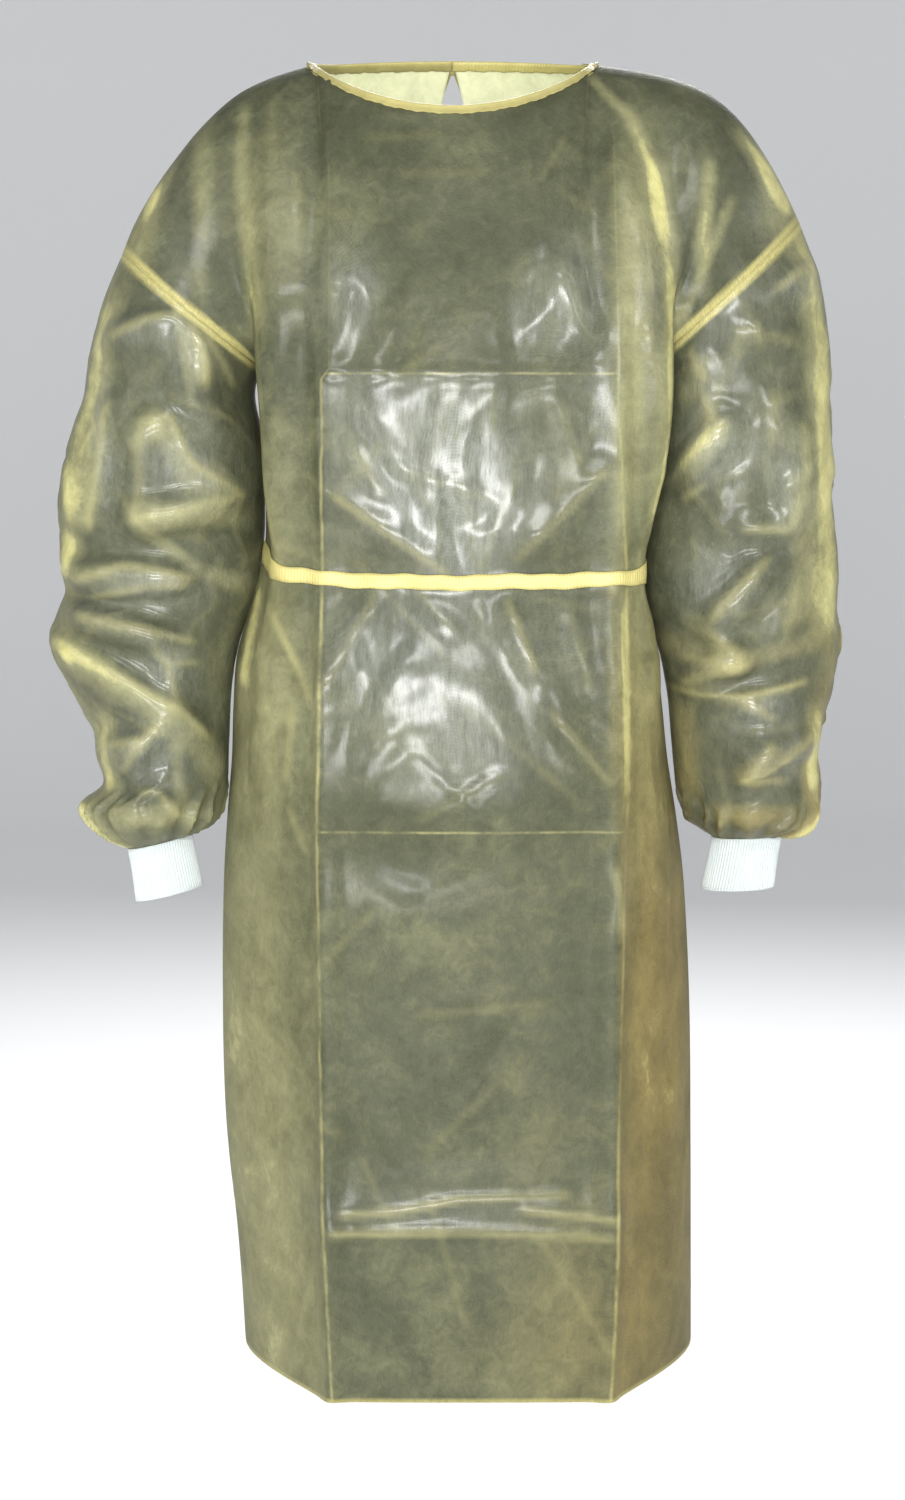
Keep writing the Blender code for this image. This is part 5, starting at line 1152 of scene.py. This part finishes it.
for side, word, seed in ((-1, "right", 31), (1, "left", 41)):
    # evenly spaced rings and points, closer together where the sleeve is gathered
    turn = np.linspace(0, 2 * math.pi, SLEEVE_AROUND, endpoint=False)
    steps = np.linspace(0, LAST_RING, 10 * LAST_RING + 1)
    guide = sleeve_ring(side, steps, turn[::10])
    run = run_of(np.linalg.norm(np.diff(guide, axis=0), axis=2).mean(1))
    run = run / run[-1]
    at = np.interp(np.linspace(0, 1, SLEEVE_ROWS), run, steps)
    points = sleeve_ring(side, at, turn)
    share = np.where(turn <= math.pi, turn / math.pi, 2 - turn / math.pi)
    joined = np.where((turn <= math.pi)[:, None], armhole(side, -1, share), armhole(side, 1, share))
    points += (joined - points[0])[None] * (1 - ease(at / 0.9))[:, None, None]
    normals = tube_normals(points)
    x, z = points[..., 0], points[..., 2]
    ahead = ease(0.5 - 0.9 * normals[..., 1])
    folds = np.zeros(x.shape)
    for x0, z0, x1, z1, half, tall, faces in zip(*SLEEVE_FOLDS[side].values()):
        one = table(CREASE_COLUMNS, [(x0, z0, x1, z1, half, tall, 0, 0)])
        folds += raised(x, z, one)[0] * (ahead if faces < 0 else 1 - ahead)
    beside_body = np.exp(-((turn / math.pi - 1) / BODY_SIDE_SPREAD) ** 2)[None]
    folds *= 1 - BODY_SIDE_EVEN * beside_body
    start, end = ease(at / 1.0)[:, None], ease((LAST_RING - at) / 3.0)[:, None]
    swell = np.interp(at, INNER_SWELL["at"], INNER_SWELL["swell"])[:, None] * beside_body
    points = points + normals * (folds * start * end + swell)[..., None]
    normals = tube_normals(points)
    s = np.cumsum(np.linalg.norm(points - np.roll(points, 1, 1), axis=2), axis=1)
    lift, line = raised(x, z, wider(SLEEVE_CREASES[side], SLEEVE_FACET))
    ring = float(s[SLEEVE_ROWS // 3, -1])
    low_z, high_z = (-0.66, -0.20)
    area = (0, low_z), (ring, high_z)
    big = crumples(seed, 46, *area, (0.05, 0.13), (0.010, 0.020), (0.0018, 0.0040), 1.4, 1.6)
    small = crumples(seed + 1, 110, *area, (0.02, 0.08), (0.005, 0.012), (0.0006, 0.0020), 1.2, 2.6)
    big_lift, big_line = raised(s, z, big, ring)
    small_lift, small_line = raised(s, z, small, ring)
    hidden = 1 - ahead
    total = 2.1 * lift * ahead + 1.6 * big_lift * hidden + small_lift * (0.8 * ahead + hidden)
    total = total * (1 - BODY_SIDE_EVEN * beside_body)
    line = line * ahead + big_line * hidden + 0.6 * small_line
    lifted = total * ease(at / 0.5)[:, None] * ease((LAST_RING - at) / 2.0)[:, None]
    points = points + normals * lifted[..., None]
    # gathers, deepest halfway down to the cuff
    swell = np.sin(math.pi * np.clip((at - GATHER_START) / (LAST_RING - GATHER_START), 0, 1)) ** 0.7
    drift = turn[None] + 0.10 * np.sin(0.9 * at + seed)[:, None] + 0.05 * np.sin(4 * turn + 1.7 * at[:, None])
    wobble = 1.6 * np.sin(2 * drift + seed) + 0.9 * np.sin(5 * drift + 1.3)
    uneven = 0.55 + 0.45 * np.sin(3 * drift + 0.6 + 0.4 * at[:, None])
    pleat = 1 - 2 * np.abs(np.sin((GATHERS * drift + wobble) / 2)) ** 0.8
    wave = pleat * uneven + 0.45 * np.cos(11 * drift + 2.0 * seed + 0.5 * at[:, None])
    normals = tube_normals(points)
    points = points + normals * (GATHER_HEIGHT * swell[:, None] * wave)[..., None]
    normals = tube_normals(points)
    down = np.cumsum(np.linalg.norm(np.diff(points, axis=0, prepend=points[:1]), axis=2), axis=0)
    seam = ease((SEAM_WIDE - down) / SEAM_SOFT)
    sewn = s[:, SLEEVE_AROUND // 2 : SLEEVE_AROUND // 2 + 1]
    seam = np.maximum(seam, 0.9 * ease((UNDERARM_WIDE - np.abs(s - sewn)) / SEAM_SOFT))
    edge_on = ease((np.abs(normals[..., 0]) - 0.40) / 0.5)
    outermost = ease((np.cos(turn) - 0.55) / 0.4)[None]
    strips = np.minimum(raised(x, z, SLEEVE_STRIPS[side])[0], 0.72)
    # The crests of the folds, of the crumples behind and of the gathers stand clear and turn yellower; these
    # terms also leave the valleys and troughs between them darker, as painted shade.
    thin = 0.38 * outermost + 0.20 * edge_on + 70.0 * np.clip(total - 0.002, 0, 0.007) - 0.12
    thin = thin + strips * ahead + 0.30 * big_lift / 0.004 * hidden
    thin = thin + ease((at - 11.2) / 3.0)[:, None] * (0.34 + 0.26 * outermost + 0.16 * np.clip(wave, -1, 1))
    # Where the film is glossy, and so takes the painted sheen, less in the troughs of the folds.
    film = patches(x, z, SLEEVE_GLOSS_AND_SHEEN[side]) * ahead + 0.35 * hidden
    gloss_and_sheen = np.clip(0.30 + 0.70 * film - 30.0 * np.clip(-total, 0, 0.01), 0.1, 1)
    made = cloth_mesh(f"sleeve_{word}_cloth", points, seam, np.clip(thin, 0, 1), line, gloss_and_sheen, closed=True)
    middle = points.mean(1)
    cloth_piece(
        made, THICK, lambda p: p - middle[np.abs(middle[:, 2] - p[2]).argmin()], cloth,
        ["sleeve_" + word], bare,
    )


# ---------------------------------------------------------------------------------------------------
# Cuffs. Short tubes of white ribbed knit, about 64 ribs round, sewn onto the gathered sleeve ends.
# ---------------------------------------------------------------------------------------------------

CUFF_LENGTH = 0.048
CUFF_LEAN = 0.17
CUFF_SPREAD = 1.04
CUFF_RIBS = 64
RIB_HEIGHT = 0.0005
STITCH_LENGTH = 0.0011
STITCH_WIDTH = 0.00135
KNIT_THICK = 0.0011
CUFF_ROWS, CUFF_POINTS_A_RIB = 34, 6
KNIT_WHITE = (0.52, 0.56, 0.55, 1)
KNIT_SHADE = (0.32, 0.36, 0.355, 1)


def ribbed_knit(name):
    """Ribbed knit: ribs from the mesh, with short slanting stitches in the relief, and paler ridges with
    painted shade darker in the grooves between them.
    """
    made, shader, wire = blank(name)
    sheet = wire.node("UVMap", {"uv_map": "cloth"})
    across, along = sheet.parts()[:2]
    rib = wire.attribute("line")
    slant = wire.maths("SINE", across * (math.pi / STITCH_WIDTH)) * 1.6
    stitch = wire.maths("SINE", along * (2 * math.pi / STITCH_LENGTH) + slant)
    fuzz = wire.noise(wire.node("TexCoord", None, None, "Object"), 900.0, 4.0, 0.7)
    cloud = wire.noise(wire.node("TexCoord", None, None, "Object"), 40.0, 3.0, 0.5)
    # painted shade: the ribs' grooves take the darker knit colour, their ridges the paler
    pale = (rib * 0.65 + stitch * 0.10 + 0.25 + (cloud - 0.5) * 0.35).clamped()
    plug(shader, "Base Color", pale.mix(KNIT_SHADE, KNIT_WHITE))
    plug(shader, "Roughness", (0.78 + (fuzz - 0.5) * 0.2).clamped())
    plug(shader, "Sheen Weight", 0.25)
    emboss(shader, stitch * 0.00009 + fuzz * 0.00025, 0.9)
    return made


knit = ribbed_knit("ribbed_knit")
for side, word in ((-1, "right"), (1, "left")):
    count = CUFF_RIBS * CUFF_POINTS_A_RIB
    turn = np.linspace(0, 2 * math.pi, count, endpoint=False)
    end = sleeve_ring(side, np.array([float(LAST_RING)]), turn)[0]
    axis = unit(np.array([-side * CUFF_LEAN, 0, -1]))
    middle = end.mean(0)
    down = np.linspace(0.0004, CUFF_LENGTH, CUFF_ROWS)[:, None, None]
    grow = 1 + (CUFF_SPREAD - 1) * ease(down / CUFF_LENGTH)
    # a soft waist and a small wave at the lower edge, as worn knit has
    waist = 1 - 0.018 * np.sin(math.pi * down / CUFF_LENGTH) + 0.012 * np.sin(2 * turn + 0.7)[None, :, None]
    points = middle + (end - middle)[None] * grow * waist + axis * down
    normals = tube_normals(points)
    edge_len = np.linalg.norm(end - np.roll(end, 1, 0), axis=1)
    run = np.cumsum(edge_len) / edge_len.sum()
    rib = np.cos(2 * math.pi * CUFF_RIBS * run)
    row_share = np.linspace(0, 1, CUFF_ROWS)[:, None]
    flat = ease(row_share * 9) * ease((1 - row_share) * 12)
    points = points + normals * (RIB_HEIGHT * (rib[None] - 1) * (0.35 + 0.65 * flat))[..., None]
    made = cloth_mesh(f"cuff_{word}_knit", points, line=0.5 + 0.5 * rib[None], closed=True)
    cloth_piece(made, KNIT_THICK, lambda p: p - middle, knit, ["cuff_" + word])


# ---------------------------------------------------------------------------------------------------
# Neck binding. A bias strip of pale yellow tape folded over the neckline and stitched through, which
# runs on past the nape as two ties.
# ---------------------------------------------------------------------------------------------------

BINDING_WIDTH = 0.0085
BINDING_STAND = 0.0009
BINDING_THICK = 0.0005
# Columns along the binding and rows across it, and the distances between the tape's threads and puckers.
BINDING_ALONG, BINDING_ACROSS = 420, 15
THREAD_PITCH = 0.0009
PUCKER_PITCH = 0.0031
TAPE_YELLOW = (0.500, 0.445, 0.165, 1)
TAPE_SHADE = (0.330, 0.280, 0.085, 1)


def woven_tape(name):
    """Narrow tape: fine cross threads, a stitched line near each edge and small puckers."""
    made, shader, wire = blank(name)
    sheet = wire.node("UVMap", {"uv_map": "cloth"})
    along = sheet.parts()[0]
    edge = wire.attribute("seam")
    place = wire.node("TexCoord", None, None, "Object")
    blot = wire.noise(place, 90.0, 5.0, 0.65)
    thread = wire.maths("SINE", along * (2 * math.pi / THREAD_PITCH))
    pucker = wire.maths("SINE", along * (2 * math.pi / PUCKER_PITCH) + blot * 3.0)
    # painted light and shade: paler and darker in step with the puckers; the seam attribute also darkens the
    # edges of the belt and the free ends and the grooves of the knots, as painted shade
    pale = (0.25 + edge * 0.45 + (blot - 0.5) * 1.1 + thread * 0.06 + pucker * 0.08).clamped()
    plug(shader, "Base Color", pale.mix(TAPE_SHADE, TAPE_YELLOW))
    plug(shader, "Roughness", (0.52 + (blot - 0.5) * 0.3).clamped())
    plug(shader, "Coat Weight", 0.12)
    plug(shader, "Coat Roughness", 0.35)
    emboss(shader, thread * 0.00004 + pucker * 0.00012 + blot * 0.0005)
    return made


tape = woven_tape("woven_tape")


def neck_span(points, normals, columns):
    """The edge points, normals and downward directions of a panel's columns along the neckline."""
    edge, below, normal = points[0, columns], points[2, columns], normals[1, columns]
    return edge, below - edge, normal


def at_even(even, way, values):
    """Vectors along a path, read off at even steps of the distance along it."""
    return np.stack([np.interp(even, way, values[:, k]) for k in range(3)], axis=1)


front_neck = np.flatnonzero((front_column >= neck_corners[0]) & (front_column <= neck_corners[1]))[::-1]
left_points, left_normals, left_row = backs[1]
right_points, right_normals, right_row = backs[-1]
left_neck = np.flatnonzero(np.abs(left_points[0, :, 0]) < NECK_HALF)[::-1]
right_neck = np.flatnonzero(np.abs(right_points[0, :, 0]) < NECK_HALF)
spans = [
    neck_span(left_points, left_normals, left_neck), neck_span(front_points, front_normals, front_neck),
    neck_span(right_points, right_normals, right_neck),
]
edge, below, normal = [np.concatenate([span[k] for span in spans]) for k in range(3)]
way = run_of(np.linalg.norm(np.diff(edge, axis=0), axis=1))
even = np.linspace(0, way[-1], BINDING_ALONG)
edge, below, normal = [at_even(even, way, values) for values in (edge, below, normal)]


def blur(values, times):
    """Evens out points along a path, with its two ends kept."""
    for _ in range(times):
        values = values.copy()
        values[1:-1] = (values[:-2] + 2 * values[1:-1] + values[2:]) / 4
    return values


ahead = unit(np.gradient(blur(edge, 6), axis=0))
normal = unit(blur(normal, 12))
below = blur(unit(below - (below * ahead).sum(1, keepdims=True) * ahead), 12)
below = unit(below - (below * normal).sum(1, keepdims=True) * normal)
# across the tape: down the outside, over the edge and down the inside
profile = np.linspace(-1, 1, BINDING_ACROSS)
depth = BINDING_WIDTH * (np.abs(profile) ** 1.15) - 0.0006
rolled = 1 + 0.35 * np.exp(-((np.abs(profile) - 0.25) / 0.2) ** 2)
stand = BINDING_STAND * np.clip(profile * 5, -1, 1) * rolled
ripple = 1 + 0.05 * np.sin(even * 2 * math.pi / 0.021) + 0.04 * np.sin(even * 2 * math.pi / 0.009 + 1)
points = (
    edge[None] + below[None] * (depth[:, None] * ripple[None])[..., None]
    - normal[None] * (stand[:, None] * ripple[None])[..., None]
)
points = points - normal[None] * (THICK / 2)
stitched = np.broadcast_to(np.exp(-((np.abs(profile) - 0.8) / 0.12) ** 2)[:, None], points.shape[:2])
binding = cloth_mesh("neck_binding_tape", points, 0.55 + 0.45 * (1 - stitched))
cloth_piece(binding, BINDING_THICK, lambda at: at * np.array([1, 1, 0]), tape, ["neck_binding"])


# ---------------------------------------------------------------------------------------------------
# Belt. A strip of the same pale yellow tape round the waist, caught at the side seams. Behind, it runs
# over the lap and its ends are tied.
# ---------------------------------------------------------------------------------------------------

BELT_KNOT_HALF = (0.0125, 0.0065, 0.0090)
BELT_STAND = 0.0011
BELT_STEP_OVER = 0.014
# Rows across the belt and columns along it, the middle row, and the thickness of all narrow tape.
BELT_ACROSS, BELT_ALONG = 7, 620
BELT_MIDDLE = BELT_ACROSS // 2
TAPE_THICK = 0.0009


def on_panel(points, normals, row_at, rows):
    """Points and normals of a fine panel at places among its coarse rows."""
    at = np.interp(rows, row_at, np.arange(len(row_at)))
    k = np.minimum(at.astype(int), len(row_at) - 2)
    t = (at - k)[:, None, None]
    return points[k] * (1 - t) + points[k + 1] * t, unit(normals[k] * (1 - t) + normals[k + 1] * t)


belt_rows = np.linspace(BELT_ROW - 0.02, BELT_ROW + 1.02, BELT_ACROSS)
front_belt = on_panel(front_points, front_normals, front_row, belt_rows)
left_belt = on_panel(left_points, left_normals, left_row, belt_rows)
right_belt = on_panel(right_points, right_normals, right_row, belt_rows)
knot_side = BELT_KNOT_HALF[0] - 0.002
left_x, right_x = left_belt[0][BELT_MIDDLE, :, 0], right_belt[0][BELT_MIDDLE, :, 0]
lap_edge = left_x[-1]
from_knot = np.flatnonzero(left_x > knot_side)[::-1]
to_lap = np.flatnonzero(right_x < lap_edge - BELT_STEP_OVER)
over_lap = np.flatnonzero((left_x < -knot_side) & (left_x > lap_edge))
tape_line = [
    np.concatenate([
        left_belt[k][:, from_knot], front_belt[k][:, ::-1], right_belt[k][:, to_lap],
        left_belt[k][:, over_lap[::-1]],
    ], axis=1)
    for k in (0, 1)
]
belt_points = tape_line[0] + tape_line[1] * BELT_STAND
way = run_of(np.linalg.norm(np.diff(belt_points[BELT_MIDDLE], axis=0), axis=1))
even = np.linspace(0, way[-1], BELT_ALONG)
belt_points = np.stack([at_even(even, way, row) for row in belt_points])
belt_normals = np.stack([at_even(even, way, row) for row in tape_line[1]])
belt_points = np.moveaxis(blur(np.moveaxis(belt_points, 1, 0), 14), 0, 1)
belt_normals = unit(np.moveaxis(blur(np.moveaxis(belt_normals, 1, 0), 20), 0, 1))
across_belt = np.linspace(-1, 1, BELT_ACROSS)[:, None]
crown = 0.0006 * (1 - across_belt**2)
waver = 0.0007 * np.sin(even * 2 * math.pi / 0.083) + 0.0005 * np.sin(even * 2 * math.pi / 0.031 + 2)
belt_points = belt_points + belt_normals * (crown + 0.0003)[..., None]
belt_points[..., 2] += waver[None] * 0.8
edges = np.abs(across_belt) * np.ones((1, BELT_ALONG))
# painted shade: the belt is paler along its crowned middle and darker towards its edges
belt = cloth_mesh("belt_tape", belt_points, 1 - 0.5 * edges**2)
cloth_piece(belt, TAPE_THICK, lambda at: at * np.array([1, 1, 0]), tape, ["belt"])


# ---------------------------------------------------------------------------------------------------
# Ties. The binding and the belt are each knotted behind, and two free ends of tape hang from each
# knot against the back panels.
# ---------------------------------------------------------------------------------------------------

TAIL_WIDTH = 0.010
TAIL_STAND = 0.004
# Columns along and across a free end, and rows along and round a knot.
TAIL_ALONG, TAIL_ACROSS = 90, 7
KNOT_ALONG, KNOT_AROUND = 41, 48
TAILS = {
    "neck": table("start end length", [(0.0060, 0.041, 0.145), (0.0060, 0.046, 0.160)]),
    "belt": table("start end length", [(0.0060, 0.016, 0.225), (0.0060, 0.024, 0.265)]),
}
back_cloud = np.concatenate([points.reshape(-1, 3) for points, _, _ in backs.values()])
back_cloud = back_cloud[(np.abs(back_cloud[:, 0]) < 0.08) & (back_cloud[:, 1] > 0)]


def tape_knot(name, node):
    """A single knot: a lump of three turns of tape side by side. Round it runs an ellipse, lengthwise its
    radius follows a rounded power curve, and slanting grooves part the turns."""
    low, high = [np.array(corner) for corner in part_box(node)]
    middle, half = (low + high) / 2, (high - low) / 2
    along = np.linspace(-1, 1, KNOT_ALONG)[:, None]
    turn = np.linspace(0, 2 * math.pi, KNOT_AROUND, endpoint=False)[None]
    swell = np.clip(1 - np.abs(along) ** 2.6, 0, 1) ** 0.5
    groove = 0.86 + 0.14 * np.abs(np.cos(2.4 * along + 0.35 * np.sin(turn + 0.8))) ** 0.5
    centre_turn = np.exp(-(along / 0.30) ** 2) * 0.10
    radius = np.clip(swell * groove + centre_turn * swell, 0.02, 1.02)
    x = along * (1 - 0.06 * np.cos(turn) ** 2)
    y = radius * np.sign(np.cos(turn)) * np.abs(np.cos(turn)) ** 0.8
    z = radius * np.sign(np.sin(turn)) * np.abs(np.sin(turn)) ** 0.8 + 0.10 * along
    points = middle + stack(x, y, np.clip(z, -1, 1)) * half * 0.99
    # painted shade: the knot is darker in the grooves between its turns
    made = cloth_mesh(name, points, 0.6 * groove, closed=True)
    shell = bmesh.new()
    shell.from_mesh(made.data)
    bmesh.ops.holes_fill(shell, edges=[edge for edge in shell.edges if edge.is_boundary])
    bmesh.ops.recalc_face_normals(shell, faces=shell.faces[:])
    shell.to_mesh(made.data)
    shell.free()
    mesh = made.data
    mesh.shade_smooth()
    mesh.materials.append(tape)
    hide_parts(node)
    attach(made, "root")


def tape_tail(name, node, side, size, index):
    """A free end of tape: across it runs sideways and down along a curve that flattens out, and y is the
    furthest that the backs reach within a few millimetres, smoothed along the tape."""
    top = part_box(node)[1][2]
    start, end, length = [size[key][index] for key in ("start", "end", "length")]
    share = np.linspace(0, 1, TAIL_ALONG)
    x = side * (start + (end - start) * (1 - (1 - share) ** 1.7))
    x = x + 0.0012 * np.sin(share * 9 + side) * ease(share * 3)
    z = top - length * share
    off = np.hypot(back_cloud[None, :, 0] - x[:, None], back_cloud[None, :, 2] - z[:, None])
    reach = np.where(off < 0.0075, back_cloud[None, :, 1], -1).max(1)
    # where the backs are out of reach, the value between the places above and below
    upwards = reach[::-1]
    known = upwards > 0
    between = np.interp(z[::-1], z[::-1][known], upwards[known])[::-1]
    reach = np.where(reach < 0, between, reach)
    y = blur(np.maximum(reach, blur(reach, 10)), 8) + 0.0012 + TAIL_STAND * (1 - ease(share * length / 0.025))
    path = stack(x, y, z)
    ahead = unit(np.gradient(path, axis=0))
    sideways = unit(np.cross(ahead, np.array([0, 1.0, 0])))
    out = unit(np.cross(sideways, ahead))
    out = out * np.sign(out[:, 1:2])
    curl = 0.0007 * np.sin(share * 14 + 2 * side)
    v = np.linspace(-1, 1, TAIL_ACROSS)[:, None]
    points = path[None] + sideways[None] * (v * TAIL_WIDTH / 2)[..., None]
    points = points + out[None] * (0.0005 * (1 - v**2) + curl[None] * v * ease(share * 4)[None])[..., None]
    # painted shade: the free end is paler along its middle and darker towards its edges
    made = cloth_mesh(name, points, 1 - 0.5 * np.abs(v) ** 2 * np.ones((1, TAIL_ALONG)))
    cloth_piece(made, TAPE_THICK, lambda at: np.array([0, 1, 0]), tape, [node])
    length + 0.004


for place in ("neck", "belt"):
    tape_knot(place + "_knot_tape", place + "_knot")
    for index, (side, word) in enumerate(((-1, "right"), (1, "left"))):
        tape_tail(f"{place}_tail_{word}_tape", f"{place}_tail_{word}", side, TAILS[place], index)


# ---------------------------------------------------------------------------------------------------
# Floor, light and camera. The gown hangs in front of a pale backdrop, lit by large soft lamps.
# ---------------------------------------------------------------------------------------------------

def plain(name, colour, rough):
    """A plain matt material."""
    made, shader, _ = blank(name)
    plug(shader, "Base Color", colour)
    plug(shader, "Roughness", rough)
    return made


GROUND_COLOUR = (0.92, 0.92, 0.92, 1)
GROUND_HALF = 14.0
BEND_RADIUS, BEND_STEPS = 2.5, 24


def sweep(name, low, back, high):
    """A floor that bends up into a wall: flat, then a quarter circle, then upright. It runs as far
    forward as back."""
    bend, radius = np.linspace(0, math.pi / 2, BEND_STEPS), BEND_RADIUS
    y = np.concatenate([[-back], back - radius + radius * np.sin(bend), [back]])
    z = np.concatenate([[low], low + radius - radius * np.cos(bend), [high]])
    grid = stack(np.array([-GROUND_HALF, GROUND_HALF])[None], y[:, None], z[:, None])
    made = cloth_mesh(name, grid)
    made.data.materials.append(plain("pale_ground", GROUND_COLOUR, 0.9))


sweep("ground", low=-1.55, back=8.5, high=9.0)


def lamp(name, at, towards, size, power):
    """A white rectangular lamp at a place, turned to face a point and hidden from the camera."""
    light = bpy.data.lights.new(name, "AREA")
    light.shape = "RECTANGLE"
    light.size, light.size_y = size
    light.energy = power
    made = bpy.data.objects.new(name, light)
    made.location = at
    away = np.array(towards, float) - np.array(at, float)
    made.rotation_euler = (
        math.atan2(math.hypot(away[0], away[1]), -away[2]), 0, math.atan2(-away[0], away[1]),
    )
    made.visible_camera = False
    bpy.context.scene.collection.objects.link(made)


lamp("front_low", (-0.1, -3.0, -0.98), (0, 0, -0.4), (1.2, 0.26), 56)
lamp("front_middle", (-0.1, -3.0, 0.05), (0, 0, -0.4), (1.1, 0.26), 60)
lamp("front_high", (0.0, -2.6, 1.3), (0, 0, -0.5), (0.9, 0.45), 30)
lamp("front_left", (-1.4, -2.7, -0.4), (0, 0, -0.4), (0.35, 1.0), 10)
lamp("front_right", (1.4, -2.7, -0.2), (0, 0, -0.4), (0.35, 1.0), 9)
lamp("left_fill", (-2.2, -1.6, 0.2), (0, 0, -0.5), (0.7, 1.8), 14)
lamp("right_fill", (2.2, -1.4, 0.4), (0, 0, -0.5), (0.7, 1.8), 12)
lamp("behind", (0.3, 3.2, 1.3), (0, 0.2, -0.4), (1.4, 1.0), 90)

WORLD_COLOUR = (0.95, 0.97, 1.0, 1)
WORLD_STRENGTH = 0.48
world = bpy.data.worlds.new("studio")
bpy.context.scene.world = world
world.use_nodes = True
world.node_tree.nodes["Background"].inputs[0].default_value = WORLD_COLOUR
world.node_tree.nodes["Background"].inputs[1].default_value = WORLD_STRENGTH

# The camera stands level with the chest and looks a little down.
LENS_MM, SENSOR_MM = 69.72, 36.0
CAMERA_AT = (0, -2.6, -0.30)
LOOKS_DOWN = 6.69
camera_data = bpy.data.cameras.new("camera")
camera_data.lens = LENS_MM
camera_data.sensor_width = SENSOR_MM
camera = bpy.data.objects.new("camera", camera_data)
camera.location = CAMERA_AT
camera.rotation_euler = (math.radians(90 - LOOKS_DOWN), 0, 0)
bpy.context.scene.collection.objects.link(camera)
bpy.context.scene.camera = camera
bpy.context.scene.view_settings.view_transform = "Standard"
